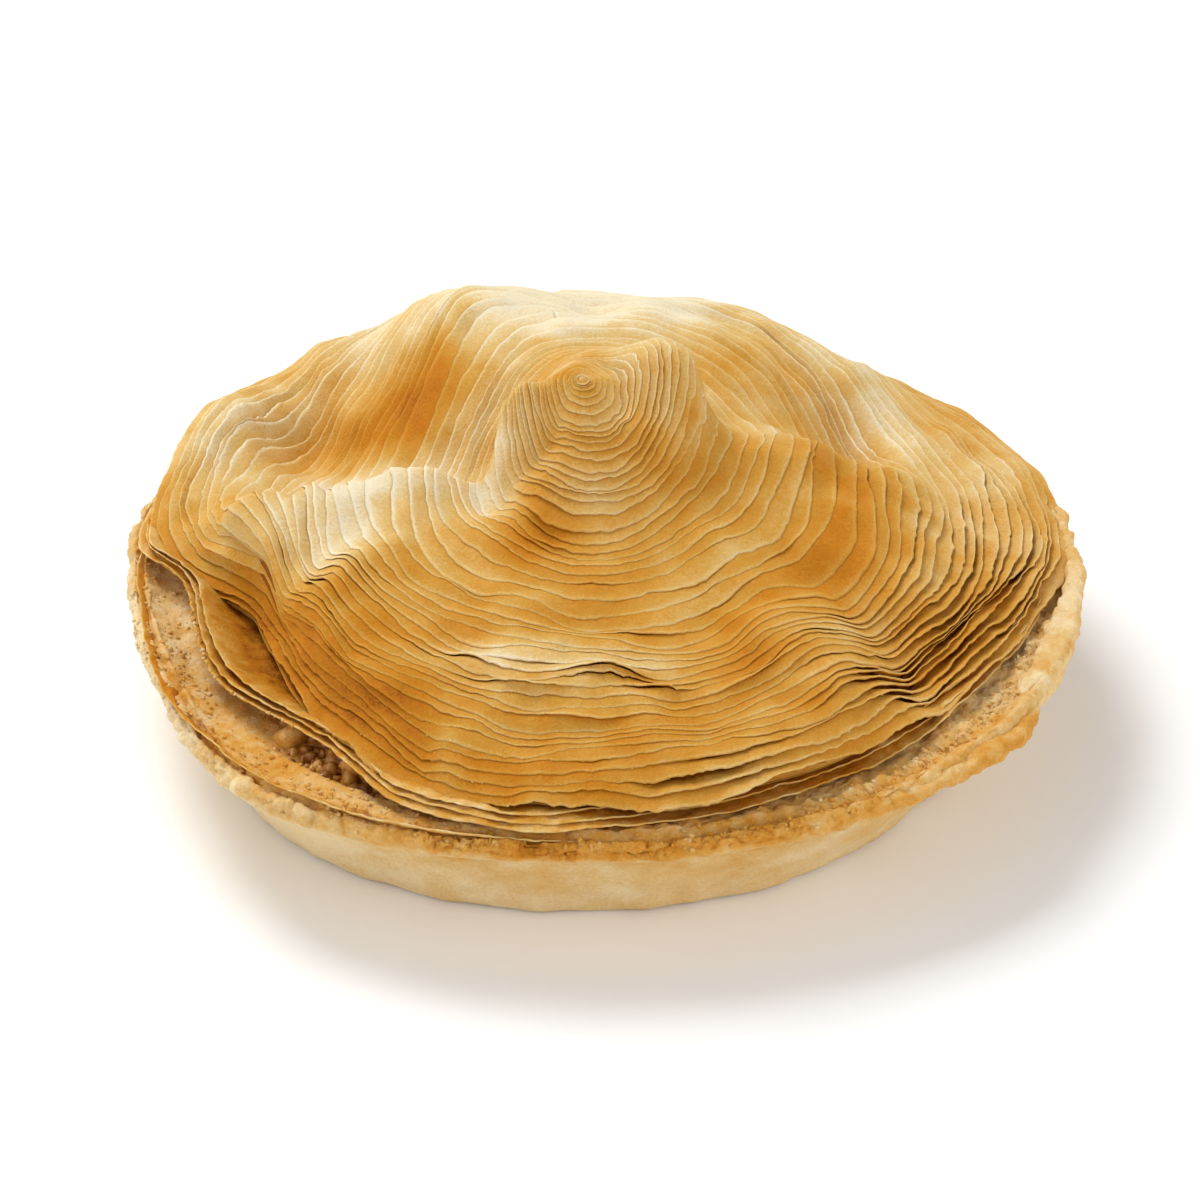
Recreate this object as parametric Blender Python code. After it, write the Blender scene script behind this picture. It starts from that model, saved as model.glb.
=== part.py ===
"""A round meat pie: a shortcrust dish, its meat filling and a lid coiled from one long pastry strip.

Metres, +Z up. The origin is the middle of the flat underside, and the front of the pie faces -Y.
Azimuths are in degrees, anticlockwise from +X, so the front is 270 and the back is 90.
"""

import bpy
import numpy as np

# Driving dimensions
RIM_RADIUS = 0.0642
FOOT_RADIUS = 0.0524
FOOT_SHIFT_X = -0.0009
RIM_TOP = 0.0186
WALL_THICKNESS = 0.0036
LID_RADIUS = 0.0615
LID_EDGE_RING = 0.0602
PEAK_HEIGHT = 0.0314
GAP = 0.0003

# The lid's heights are counted from this level, just under the top of the rim.
LID_LEVEL = 0.0183
LID_EDGE_HEIGHT = 0.0020
SHELF_HEIGHT = 0.0142
SHELF_POWER = 3.5
CONE_RADIUS = 0.0105
CONE_POWER = 1.35
# The swells die away towards the peak, where all azimuths meet.
PEAK_CALM = 0.0026
# The peak leans over: how far in x and in y, and the ring by which the lean has mostly gone.
PEAK_LEAN = (-0.0012, -0.0016, 0.0065)

# The filling is a low dome that stops short of the rim.
FILLING_EDGE_RADIUS = 0.0572
FILLING_EDGE_TOP = 0.0162
FILLING_CROWN = 0.0038

# Where the coiled lid stands proud of its round profile, or sinks below it:
# azimuth, spread in degrees, ring, reach inwards, reach outwards, height.
LID_SWELLS = {
    "shoulder left of the peak": (180, 34, 0.0117, 0.0068, 0.0018, 0.0098),
    "notch beside the whorl, left": (185, 30, 0.0062, 0.0016, 0.0018, -0.0012),
    "hump right of the peak": (12, 38, 0.0120, 0.0070, 0.0026, 0.0111),
    "hump behind the peak": (46, 36, 0.0092, 0.0034, 0.0036, 0.0030),
    "valley between whorl and hump": (10, 42, 0.0052, 0.0011, 0.0012, -0.0024),
    "saddle behind the peak": (100, 40, 0.0110, 0.0050, 0.0060, 0.0016),
    "foot of the peak's front": (262, 50, 0.0150, 0.0050, 0.0060, -0.0026),
    "raised back half": (117, 72, 0.0250, 0.0235, 0.0150, 0.0082),
    "lowered front half": (266, 55, 0.0270, 0.0095, 0.0250, -0.0045),
    "left ridge": (186, 15, 0.0265, 0.0100, 0.0160, 0.0062),
    "left ridge, outer end": (190, 18, 0.0470, 0.0120, 0.0045, 0.0045),
    "right ridge, inner end": (0, 22, 0.0200, 0.0040, 0.0040, 0.0026),
    "right ridge, first rise": (6, 16, 0.0262, 0.0040, 0.0030, 0.0028),
    "right ridge": (4, 16, 0.0370, 0.0070, 0.0070, -0.0004),
    "right ridge, falling away": (2, 20, 0.0465, 0.0060, 0.0072, -0.0048),
    "right edge": (0, 30, 0.0600, 0.0090, 0.0100, -0.0004),
    "right back, outside": (42, 18, 0.0520, 0.0065, 0.0060, -0.0036),
    "hollow behind the left ridge": (169, 29, 0.0300, 0.0115, 0.0225, -0.0104),
    "notch beside the left mound": (145, 16, 0.0440, 0.0110, 0.0060, -0.0085),
    "hollow behind the right ridge": (24, 17, 0.0345, 0.0125, 0.0100, -0.0098),
    "left back mound": (121, 17, 0.0405, 0.0105, 0.0140, 0.0074),
    "right back mound": (60, 45, 0.0420, 0.0090, 0.0075, 0.0048),
    "dip round the peak's left foot": (163, 48, 0.0140, 0.0070, 0.0130, -0.0090),
    "lifted left back edge": (158, 16, 0.0565, 0.0065, 0.0100, 0.0058),
}

# Where the lid's rings leave the circle: azimuth, spread, ring, reach inwards, reach outwards, share.
# A pair of spreads is for the clockwise side and for the other.
LID_DRAWS = {
    "pushed out, right back": (30, 45, 0.0220, 0.0100, 0.0140, 0.20),
    "pulled in, left back": (150, 35, 0.0220, 0.0100, 0.0140, -0.10),
    "pushed out, right edge": (14, (32, 38), 0.0600, 0.0150, 0.0120, 0.080),
    "pushed out, left back edge": (154, 24, 0.0600, 0.0150, 0.0120, 0.042),
    "whorl squeezed": (20, 60, 0.0034, 0.0020, 0.0030, -0.16),
    "open gap, left front": (199, (13, 34), 0.0600, 0.0125, 0.0120, -0.212),
    "pulled in, right front": (330, 24, 0.0580, 0.0120, 0.0120, -0.035),
    "flattened front": (274, 40, 0.0600, 0.0300, 0.0120, -0.016),
}

# Where the rim leaves the circle: azimuth, spread, amount.
RIM_DRAWS = {
    "fold spread out on the right": (350, 26, 0.0031),
    "pressed in at the front": (272, 25, -0.0026),
    "bulge, left front": (232, 13, 0.0018),
    "pressed in at the left": (196, 19, -0.0015),
    "pressed in, left back": (146, 24, -0.0006),
    "pressed in, right back": (36, 30, -0.0032),
}
RIM_WAVES = ((7, 0.00020, 20), (13, 0.00018, 75), (23, 0.00010, 140))

# Half of the dish's cross-section, from the middle of its underside round to the middle of its floor:
# radius and height. The last two columns say how far each point follows the foot's shift and the
# rim's draws.
CRUST_SECTION = (
    (0.0505, 0.0000, 1.0, 0.3),
    (FOOT_RADIUS - 0.0006, 0.0000, 1.0, 0.4),
    (FOOT_RADIUS, 0.0006, 1.0, 0.4),
    (0.0565, 0.0075, 0.5, 0.6),
    (0.0608, 0.0148, 0.0, 1.0),
    (0.0632, 0.0158, 0.0, 1.0),
    (RIM_RADIUS, 0.0169, 0.0, 1.0),
    (RIM_RADIUS - 0.0003, 0.0180, 0.0, 1.0),
    (RIM_RADIUS - 0.0013, RIM_TOP, 0.0, 1.0),
    (0.0610, 0.0184, 0.0, 0.6),
    (0.0591, 0.0176, 0.0, 0.2),
    (0.0578, 0.0162, 0.0, 0.0),
    (0.0516, 0.0048, 0.0, 0.0),
    (0.0494, WALL_THICKNESS, 0.0, 0.0),
)

CRUST_SIDES = 64
FILLING_SIDES = 56
LID_SIDES = 88
LID_RINGS = 33


def bump(azimuth, centre, spread):
    """A bell curve round the pie: 1 at its centre azimuth, fading out over its spread on each side."""
    away = (azimuth - centre + 180.0) % 360.0 - 180.0
    clockwise, anticlockwise = spread if isinstance(spread, tuple) else (spread, spread)
    return np.exp(-((away / np.where(away < 0.0, clockwise, anticlockwise)) ** 2))


def swells(table, ring, azimuth):
    """The sum of a table's bell-shaped swells, faded out at the peak.

    Each has its own reach inwards and outwards.
    """
    total = np.zeros(np.broadcast(ring, azimuth).shape)
    for centre, spread, middle, inwards, outwards, amount in table.values():
        reach = np.where(ring < middle, inwards, outwards)
        total += amount * bump(azimuth, centre, spread) * np.exp(-(((ring - middle) / reach) ** 2))
    return total * (1.0 - np.exp(-((ring / PEAK_CALM) ** 2)))


def lid_height(ring, azimuth):
    """A flat shelf that rounds off towards the edge, a cone on its middle, and the swells."""
    shelf = LID_EDGE_HEIGHT + SHELF_HEIGHT * (1.0 - (ring / LID_RADIUS) ** SHELF_POWER)
    cone_height = PEAK_HEIGHT - LID_EDGE_HEIGHT - SHELF_HEIGHT
    cone = cone_height * np.exp(-((ring / CONE_RADIUS) ** CONE_POWER))
    return LID_LEVEL + shelf + cone + swells(LID_SWELLS, ring, azimuth)


def lid_reach(ring, azimuth):
    """How far a ring of the coil lies from the axis: its own radius, drawn in or pushed out."""
    return ring * (1.0 + swells(LID_DRAWS, ring, azimuth))


def filling_top(radius):
    """The filling's upper side, a dome that is lowest at its edge."""
    return FILLING_EDGE_TOP + FILLING_CROWN * (1.0 - (radius / FILLING_EDGE_RADIUS) ** 2)


def rim_draw(azimuth):
    """How far the rim stands out from its circle: wide draws and the small waves of hand crimping."""
    draw = sum(amount * bump(azimuth, centre, spread) for centre, spread, amount in RIM_DRAWS.values())
    waves = sum(size * np.sin(np.radians(count * azimuth + turn)) for count, size, turn in RIM_WAVES)
    return draw + waves


def ring_points(radius, azimuth, height, shift_x=0.0):
    """Points at a radius and height for each azimuth of one ring."""
    angle = np.radians(azimuth)
    height = height + 0.0 * azimuth
    return np.column_stack([radius * np.cos(angle) + shift_x, radius * np.sin(angle), height])


def loft(name, rings, bottom, top):
    """A closed body through rings of equal count, each end drawn to a point. Rings run bottom to top."""
    sides = len(rings[0])
    points = np.vstack([*rings, bottom, top])
    first_pole = sides * len(rings)
    here = np.arange(sides)
    onward = np.roll(here, -1)
    faces = [(first_pole, b, a) for a, b in zip(here, onward)]
    for level in range(len(rings) - 1):
        low, high = level * sides, (level + 1) * sides
        faces += [(low + a, low + b, high + b, high + a) for a, b in zip(here, onward)]
    last = (len(rings) - 1) * sides
    faces += [(last + a, last + b, first_pole + 1) for a, b in zip(here, onward)]
    mesh = bpy.data.meshes.new(name)
    mesh.from_pydata(points.tolist(), [], [tuple(map(int, face)) for face in faces])
    mesh.shade_smooth()
    mesh.set_sharp_from_angle(angle=np.radians(40.0))
    return bpy.data.objects.new(name, mesh)


def crust():
    """The dish: its cross-section carried round, the foot set to one side and the rim drawn out of round."""
    azimuth = np.arange(CRUST_SIDES) * 360.0 / CRUST_SIDES
    draw = rim_draw(azimuth)
    rings = [
        ring_points(radius + follow_rim * draw, azimuth, height, follow_foot * FOOT_SHIFT_X)
        for radius, height, follow_foot, follow_rim in CRUST_SECTION
    ]
    return loft("base_crust", rings, (FOOT_SHIFT_X, 0.0, 0.0), (0.0, 0.0, WALL_THICKNESS))


def filling():
    """The meat: it fills the dish up to a low dome and keeps a hair's gap from the wall and floor."""
    azimuth = np.arange(FILLING_SIDES) * 360.0 / FILLING_SIDES
    floor = WALL_THICKNESS + GAP
    wall = ((0.0488, floor), (0.0509, floor + 0.0011), (FILLING_EDGE_RADIUS, 0.0160))
    rings = [ring_points(radius, azimuth, height) for radius, height in wall]
    for share in (0.975, 0.86, 0.66, 0.40):
        radius = share * FILLING_EDGE_RADIUS
        rings.append(ring_points(radius, azimuth, filling_top(radius)))
    return loft("filling", rings, (0.0, 0.0, floor), (0.0, 0.0, filling_top(0.0)))


def lid_underside(radius):
    """The lid lies a hair above the filling, and above the rim where it reaches over it."""
    over_rim = np.clip((radius - 0.0548) / 0.0022, 0.0, 1.0)
    return GAP + filling_top(radius) + over_rim * (RIM_TOP - filling_top(radius))


def lid():
    """The coiled lid: rings of its underside from the middle out, then rings of its top back to the peak."""
    azimuth = np.arange(LID_SIDES) * 360.0 / LID_SIDES
    edge = lid_reach(LID_EDGE_RING, azimuth)
    rings = []
    for share in (0.35, 0.60, 0.80, 0.93, 0.965, 0.995):
        radius = share * edge
        rings.append(ring_points(radius, azimuth, lid_underside(radius)))
    lean_x, lean_y, lean_ring = PEAK_LEAN
    for ring in LID_EDGE_RING * np.linspace(1.0, 0.0, LID_RINGS, endpoint=False) ** 1.25:
        points = ring_points(lid_reach(ring, azimuth), azimuth, lid_height(ring, azimuth))
        lean = np.exp(-((ring / lean_ring) ** 2))
        rings.append(points + (lean_x * lean, lean_y * lean, 0.0))
    peak = (lean_x, lean_y, float(lid_height(np.array(0.0), np.array(0.0))))
    return loft("spiral_lid", rings, (0.0, 0.0, filling_top(0.0) + GAP), peak)


def finish(part, color, roughness):
    """Gives a part its own material, with a baked pastry or meat colour and no metal."""
    material = bpy.data.materials.new(part.name)
    material.use_nodes = True
    shader = material.node_tree.nodes["Principled BSDF"]
    shader.inputs["Base Color"].default_value = (*color, 1.0)
    shader.inputs["Roughness"].default_value = roughness
    shader.inputs["Metallic"].default_value = 0.0
    part.data.materials.append(material)
    return part


for old in list(bpy.data.objects):
    bpy.data.objects.remove(old)

pie = bpy.data.collections.new("meat_pie")
bpy.context.scene.collection.children.link(pie)
pie.objects.link(finish(crust(), (0.60, 0.41, 0.20), 0.75))
pie.objects.link(finish(filling(), (0.24, 0.10, 0.03), 0.50))
pie.objects.link(finish(lid(), (0.62, 0.36, 0.12), 0.60))
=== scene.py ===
"""The looks of a round meat pie, put together in the order a baker makes it.

Lengths are metres, +Z is up and the front of the pie faces -Y. Azimuths are degrees, anticlockwise
from +X: the right is 0, the back 90, the left 180 and the front 270.
"""

import bmesh
import bpy
import numpy as np
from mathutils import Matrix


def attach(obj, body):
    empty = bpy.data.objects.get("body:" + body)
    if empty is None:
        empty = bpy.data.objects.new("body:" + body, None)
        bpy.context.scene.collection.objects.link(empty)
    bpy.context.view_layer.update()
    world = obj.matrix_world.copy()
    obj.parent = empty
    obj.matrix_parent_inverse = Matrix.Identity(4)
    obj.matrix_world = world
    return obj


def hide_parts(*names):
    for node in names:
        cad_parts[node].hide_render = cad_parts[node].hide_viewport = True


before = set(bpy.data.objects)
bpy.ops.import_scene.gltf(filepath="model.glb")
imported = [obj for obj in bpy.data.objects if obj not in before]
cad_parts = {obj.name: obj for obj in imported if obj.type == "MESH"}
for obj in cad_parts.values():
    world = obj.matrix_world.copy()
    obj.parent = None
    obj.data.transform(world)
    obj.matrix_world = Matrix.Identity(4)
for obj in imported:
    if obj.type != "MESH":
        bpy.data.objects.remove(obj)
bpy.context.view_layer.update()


# ---------------------------------------------------------------------------------------------
# The dish: lard shortcrust pressed thin into a flat-bottomed tin and turned out after baking.
# Its wall stays pale and floury, and its rim, pinched over by thumb, browns and crumbles.
# ---------------------------------------------------------------------------------------------

FOOT_RADIUS = 0.0524
FOOT_SHIFT_X = -0.0009
DISH_COLUMNS = 820
RIM_COLUMNS = 1100

# Where the rim leaves the circle: azimuth, spread, amount.
RIM_DRAWS = {
    "fold spread out on the right": (350, 24, 0.0018),
    "pressed in at the front": (272, 25, -0.0030),
    "bulge, left front": (232, 13, 0.0018),
    "pressed in at the left": (196, 19, -0.0021),
    "pressed in, left back": (150, 26, -0.0010),
    "pressed in, right back": (36, 30, -0.0032),
}
# Small waves round the rim: how many go round, height, turn in degrees.
RIM_WAVES = ((7, 0.00020, 20), (13, 0.00018, 75), (23, 0.00010, 140))

# The dish's cross-section, each corner a radius, a height, a share of the foot's shift, a share of
# the rim's draws, and how many steps lead to the next corner.
DISH_SECTION = (
    (0.0000, 0.0000, 1.0, 0.0, 4),
    (0.0480, 0.0000, 1.0, 0.3, 6),
    (FOOT_RADIUS - 0.0012, 0.0000, 1.0, 0.4, 4),
    (FOOT_RADIUS - 0.0002, 0.0006, 1.0, 0.4, 24),
    (0.0562, 0.0075, 0.5, 0.6, 26),
    (0.0606, 0.0146, 0.0, 0.9, 8),
    (0.0600, 0.0162, 0.0, 0.7, 6),
    (0.0578, 0.0160, 0.0, 0.1, 10),
    (0.0516, 0.0048, 0.0, 0.0, 3),
    (0.0494, 0.0036, 0.0, 0.0, 6),
    (0.0000, 0.0036, 0.0, 0.0, 0),
)

# The rim's cross-section. Each corner: a radius and a height at the front and back, then at the
# left, then at the right, a share of the rim's draws, and the steps to the next corner.
RIM_SECTION = (
    (0.0588, 0.0150, 0.0586, 0.0150, 0.0590, 0.0150, 0.6, 4),
    (0.0606, 0.0146, 0.0602, 0.0143, 0.0606, 0.0149, 0.9, 8),
    (0.0624, 0.0149, 0.0620, 0.0148, 0.0626, 0.0156, 1.0, 7),
    (0.0634, 0.0158, 0.0633, 0.0158, 0.0640, 0.0170, 1.0, 6),
    (0.0638, 0.0169, 0.0639, 0.0170, 0.0645, 0.0186, 1.0, 6),
    (0.0636, 0.0180, 0.0636, 0.0182, 0.0642, 0.0200, 1.0, 5),
    (0.0630, 0.0186, 0.0627, 0.0189, 0.0634, 0.0207, 1.0, 5),
    (0.0623, 0.0178, 0.0619, 0.0186, 0.0625, 0.0203, 1.0, 4),
    (0.0617, 0.0186, 0.0613, 0.0198, 0.0617, 0.0195, 1.0, 5),
    (0.0607, 0.0191, 0.0606, 0.0190, 0.0606, 0.0196, 0.9, 8),
    (0.0594, 0.0189, 0.0580, 0.0182, 0.0592, 0.0194, 0.6, 14),
    (0.0556, 0.0184, 0.0520, 0.0180, 0.0560, 0.0190, 0.2, 6),
    (0.0550, 0.0168, 0.0512, 0.0168, 0.0554, 0.0170, 0.0, 10),
)
# Where the rim has its left and its right cross-section: azimuth, spread.
RIM_LEFT = (207, 40)
RIM_RIGHT = (344, (42, 18))
# The radius where the rim turns over: its bead or lip lies outside it, its ledge inside.
RIM_TURN = 0.0620
RIM_TURN_REACH = 0.0012
CRACK_DEPTH = 0.00050


def bump(azimuth, centre, spread):
    """A bell curve round the pie: exp(-(angle away / spread) squared).

    The spread is one number, or one for the clockwise side and one for the other.
    """
    away = (azimuth - centre + 180.0) % 360.0 - 180.0
    clockwise, anticlockwise = spread if isinstance(spread, tuple) else (spread, spread)
    return np.exp(-((away / np.where(away < 0.0, clockwise, anticlockwise)) ** 2))


def bell(value, middle, reach):
    """A bell curve: exp(-((value - middle) / reach) squared)."""
    return np.exp(-(((value - middle) / reach) ** 2))


def ramp_up(value, start, length):
    """0 up to a start, then straight up to 1 over a length."""
    return np.clip((value - start) / length, 0.0, 1.0)


def grain(points, cell, seed):
    """Value noise in -1..1: hashed numbers on the corners of a cubic lattice, blended by smoothstep."""
    scaled = points / cell
    corner = np.floor(scaled).astype(np.int64)
    part = scaled - corner
    part = part * part * (3.0 - 2.0 * part)
    total = np.zeros(points.shape[:-1])
    for dx in (0, 1):
        for dy in (0, 1):
            for dz in (0, 1):
                mix = (corner[..., 0] + dx) * 374761393 + (corner[..., 1] + dy) * 668265263
                mix = (mix + (corner[..., 2] + dz) * 1442695041 + seed * 975313579) & 0xFFFFFFFF
                mix = ((mix ^ (mix >> 13)) * 1274126177) & 0xFFFFFFFF
                value = ((mix ^ (mix >> 16)) & 0xFFFF) / 32767.5 - 1.0
                weight_x = part[..., 0] if dx else 1.0 - part[..., 0]
                weight_y = part[..., 1] if dy else 1.0 - part[..., 1]
                weight_z = part[..., 2] if dz else 1.0 - part[..., 2]
                total += value * weight_x * weight_y * weight_z
    return total


def rough(points, cell, seed, octaves=3):
    """Noise on noise: each octave has half the cell and 0.55 of the height of the one before."""
    return sum(0.55**n * grain(points, cell / 2**n, seed + n) for n in range(octaves))


def along_corners(corners, rounding, closed=False):
    """Points along a polyline, each leg split into its own number of steps, then rounded by averaging."""
    corners = np.array(corners)
    if closed:
        corners = np.concatenate([corners, corners[:1]])
    marks = np.concatenate([[0.0], np.cumsum(corners[:-1, -1])])
    wanted = np.arange(marks[-1] + (0.0 if closed else 1.0))
    line = np.column_stack([np.interp(wanted, marks, column) for column in corners[:, :-1].T])
    for _ in range(rounding):
        near = np.roll(line, 1, axis=0) + np.roll(line, -1, axis=0)
        rounded = (near + 2.0 * line) / 4.0
        line = rounded if closed else np.concatenate([line[:1], rounded[1:-1], line[-1:]])
    return line


def normals_of(grid):
    """Unit normals of a grid whose columns join up: the cross product of its two central differences."""
    down = np.gradient(grid, axis=0)
    across = np.gradient(grid, axis=1)
    across[:, 0] = across[:, -1] = (grid[:, 1] - grid[:, -2]) / 2.0
    normal = np.cross(across, down)
    return normal / (np.linalg.norm(normal, axis=-1, keepdims=True) + 1e-12)


def piece_of(mesh, attributes):
    """The object of a finished mesh, shaded smooth, with a value of each attribute at each point."""
    for label, values in attributes.items():
        layer = mesh.attributes.new(label, "FLOAT", "POINT")
        layer.data.foreach_set("value", values.reshape(-1).astype(np.float32))
    mesh.validate()
    mesh.shade_smooth()
    piece = bpy.data.objects.new(mesh.name, mesh)
    bpy.context.scene.collection.objects.link(piece)
    return piece


def grid_piece(name, grid, attributes, wrapped=False, capped=False):
    """A mesh from a grid of points (rows, columns, 3), with a value of each attribute at each point.

    Each row is a closed ring. Wrapped, the last row joins the first. Capped, one flat face closes each.
    """
    rows, columns = grid.shape[:2]
    row = np.arange(rows if wrapped else rows - 1)[:, None]
    column = np.arange(columns)[None, :]
    next_row = (row + 1) % rows
    next_column = (column + 1) % columns
    quads = np.stack([
        row * columns + column,
        row * columns + next_column,
        next_row * columns + next_column,
        next_row * columns + column,
    ], axis=-1).reshape(-1, 4)
    ends = [column[0, ::-1], column[0] + (rows - 1) * columns] if capped else []
    corners = np.concatenate([quads.ravel(), *ends]).astype(np.int32)
    starts = np.concatenate([np.arange(len(quads)) * 4, len(quads) * 4 + np.arange(len(ends)) * columns])
    mesh = bpy.data.meshes.new(name)
    mesh.vertices.add(rows * columns)
    mesh.vertices.foreach_set("co", grid.reshape(-1).astype(np.float32))
    mesh.loops.add(len(corners))
    mesh.loops.foreach_set("vertex_index", corners)
    mesh.polygons.add(len(starts))
    mesh.polygons.foreach_set("loop_start", starts.astype(np.int32))
    mesh.update(calc_edges=True)
    piece = piece_of(mesh, attributes)
    for number in range(len(ends)):
        mesh.polygons[len(mesh.polygons) - 1 - number].use_smooth = False
    return piece


def rim_draw(azimuth):
    """How far the rim leaves the circle at an azimuth: bells and waves."""
    draw = sum(amount * bump(azimuth, centre, spread) for centre, spread, amount in RIM_DRAWS.values())
    return draw + sum(size * np.sin(np.radians(n * azimuth + turn)) for n, size, turn in RIM_WAVES)


def turned(radius, height, shift, azimuth):
    """Radii and heights (rows, columns) carried round the azimuths, the foot's share of them shifted."""
    angle = np.radians(azimuth)
    return np.stack([
        radius * np.cos(angle) + shift * FOOT_SHIFT_X,
        radius * np.sin(angle),
        height + 0.0 * radius,
    ], axis=-1)


def all_round(count):
    """A number of azimuths, evenly spaced right round the pie."""
    return np.arange(count) * 360.0 / count


def dish_mesh():
    """The dish's skin, its wall gently lumpy and flaky under the rim, and its underside left flat."""
    section = along_corners(DISH_SECTION, 2)
    azimuth = all_round(DISH_COLUMNS)[None, :]
    radius = section[:, 0:1] + section[:, 3:4] * rim_draw(azimuth)
    grid = turned(radius, section[:, 1:2], section[:, 2:3], azimuth)
    near_foot = np.clip(1.0 - grid[..., 2] / 0.0060, 0.0, 1.0) * (radius > 0.045)
    grid[..., :2] *= 1.0 + 0.0110 * (near_foot * rough(grid * (1.0, 1.0, 0.2), 0.0075, 17))[..., None]
    height = grid[..., 2]
    outer = ramp_up(height, 0.0, 0.0030)
    under_rim = ramp_up(height, 0.0085, 0.0050)
    lumps = 0.00034 * rough(grid * (1.0, 1.0, 0.6), 0.0085, 11)
    dimples = 0.00010 * rough(grid, 0.0024, 15)
    flakes = 0.00022 * np.abs(rough(grid * (1.0, 1.0, 2.0), 0.0026, 21))
    push = outer * (lumps + dimples) + under_rim * flakes
    grid = grid + normals_of(grid) * push[..., None]
    browned_and_painted_light = 0.15 + 0.18 * under_rim * (0.5 + rough(grid, 0.007, 41)) + 0.12 * rough(grid, 0.0045, 44)
    # Paler at the left front: painted light, where the fill from the left brightens the wall.
    browned_and_painted_light = browned_and_painted_light - 0.22 * bump(azimuth, 222, 22)
    return grid_piece("crust_dish", grid, {"browned_and_painted_light": np.clip(browned_and_painted_light, 0.0, 1.0)})


def rim_mesh():
    """The pinched rim: a crumbly bead at the front, a lip and ledge at the left, a fold at the right."""
    section = along_corners(RIM_SECTION, 1, closed=True)
    azimuth = all_round(RIM_COLUMNS)[None, :]
    left = bump(azimuth, *RIM_LEFT)
    right = bump(azimuth, *RIM_RIGHT)
    front = np.clip(1.0 - left - right, 0.0, 1.0)
    total = left + right + front
    radius = (section[:, 0:1] * front + section[:, 2:3] * left + section[:, 4:5] * right) / total
    height = (section[:, 1:2] * front + section[:, 3:4] * left + section[:, 5:6] * right) / total
    radius = radius + section[:, 6:7] * rim_draw(azimuth)
    grid = turned(radius, height, 0.0, azimuth)
    away = radius - RIM_TURN - rim_draw(azimuth)
    outer = ramp_up(away, 0.0, RIM_TURN_REACH)
    inner = ramp_up(-away, 0.0, RIM_TURN_REACH)
    top = ramp_up(height, 0.0152, 0.0018)
    ahead = bump(azimuth, 268, 38)
    gap = bump(azimuth, 236, 10) * np.clip((0.0572 - radius) / 0.0015, 0.0, 1.0)
    lumps = 0.00026 * rough(grid, 0.0050, 27)
    crumbs = 0.00048 * rough(grid, 0.0015, 31) * (1.0 - 0.80 * left * inner - 0.75 * right * outer)
    cracked = np.clip(1.0 - np.abs(rough(grid, 0.0042, 35)) * 9.0, 0.0, 1.0)
    cracks = -CRACK_DEPTH * cracked * outer * (0.4 + 0.6 * ahead)
    folds = 0.0005 * left * outer * rough(grid, 0.0030, 37)
    push = 0.15 * lumps + top * (lumps + crumbs + cracks + folds)
    grid = grid + normals_of(grid) * push[..., None]
    grid[..., 2] -= 0.0034 * gap
    ledge = 0.24 * bump(azimuth, 232, 20) - 0.20
    browned_and_painted_light = 0.42 + 0.10 * rough(grid, 0.007, 41) + 0.14 * rough(grid, 0.0014, 43)
    browned_and_painted_light = browned_and_painted_light + ahead * (0.22 * outer - 0.06 * inner) + left * (ledge * inner - 0.46 * outer)
    # The cracks are made browner, as painted shade.
    browned_and_painted_light = browned_and_painted_light - right * (0.26 * outer + 0.22 * inner) - 0.10 * cracks / CRACK_DEPTH
    browned_and_painted_light = browned_and_painted_light * np.clip((height - 0.0148) / 0.0020, 0.25, 1.0)
    return grid_piece("crust_rim", grid, {"browned_and_painted_light": np.clip(browned_and_painted_light, 0.0, 1.0)}, wrapped=True)


# Flat lobes of dough squeezed out over the rim. Each row: an azimuth, an inner and an outer radius,
# a height of the top, and a thickness.
LOBES = {
    "crust_plate": (
        (305.5, 0.0600, 0.0628, 0.0188, 0.0014),
        (307.0, 0.0602, 0.0646, 0.0191, 0.0022),
        (312.0, 0.0610, 0.0656, 0.0194, 0.0026),
        (318.0, 0.0618, 0.0662, 0.0195, 0.0026),
        (322.0, 0.0622, 0.0668, 0.0194, 0.0025),
        (325.5, 0.0624, 0.0671, 0.0193, 0.0025),
        (329.0, 0.0624, 0.0662, 0.0195, 0.0024),
        (334.0, 0.0622, 0.0648, 0.0199, 0.0019),
        (336.0, 0.0622, 0.0638, 0.0200, 0.0010),
    ),
    "crust_flange": (
        (331.0, 0.0626, 0.0640, 0.0200, 0.0012),
        (333.0, 0.0620, 0.0646, 0.0206, 0.0022),
        (338.0, 0.0617, 0.0652, 0.0212, 0.0028),
        (345.0, 0.0622, 0.0656, 0.0214, 0.0028),
        (352.0, 0.0628, 0.0654, 0.0214, 0.0026),
        (359.0, 0.0632, 0.0655, 0.0212, 0.0024),
        (367.0, 0.0632, 0.0652, 0.0208, 0.0020),
        (376.0, 0.0628, 0.0644, 0.0202, 0.0014),
    ),
}
LOBE_STEP = 0.22
LOBE_SIDES = 44


def flattened(wave):
    """A sine or cosine made squarer: its size to the power 0.7, with its own sign."""
    return np.sign(wave) * np.abs(wave) ** 0.7


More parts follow.
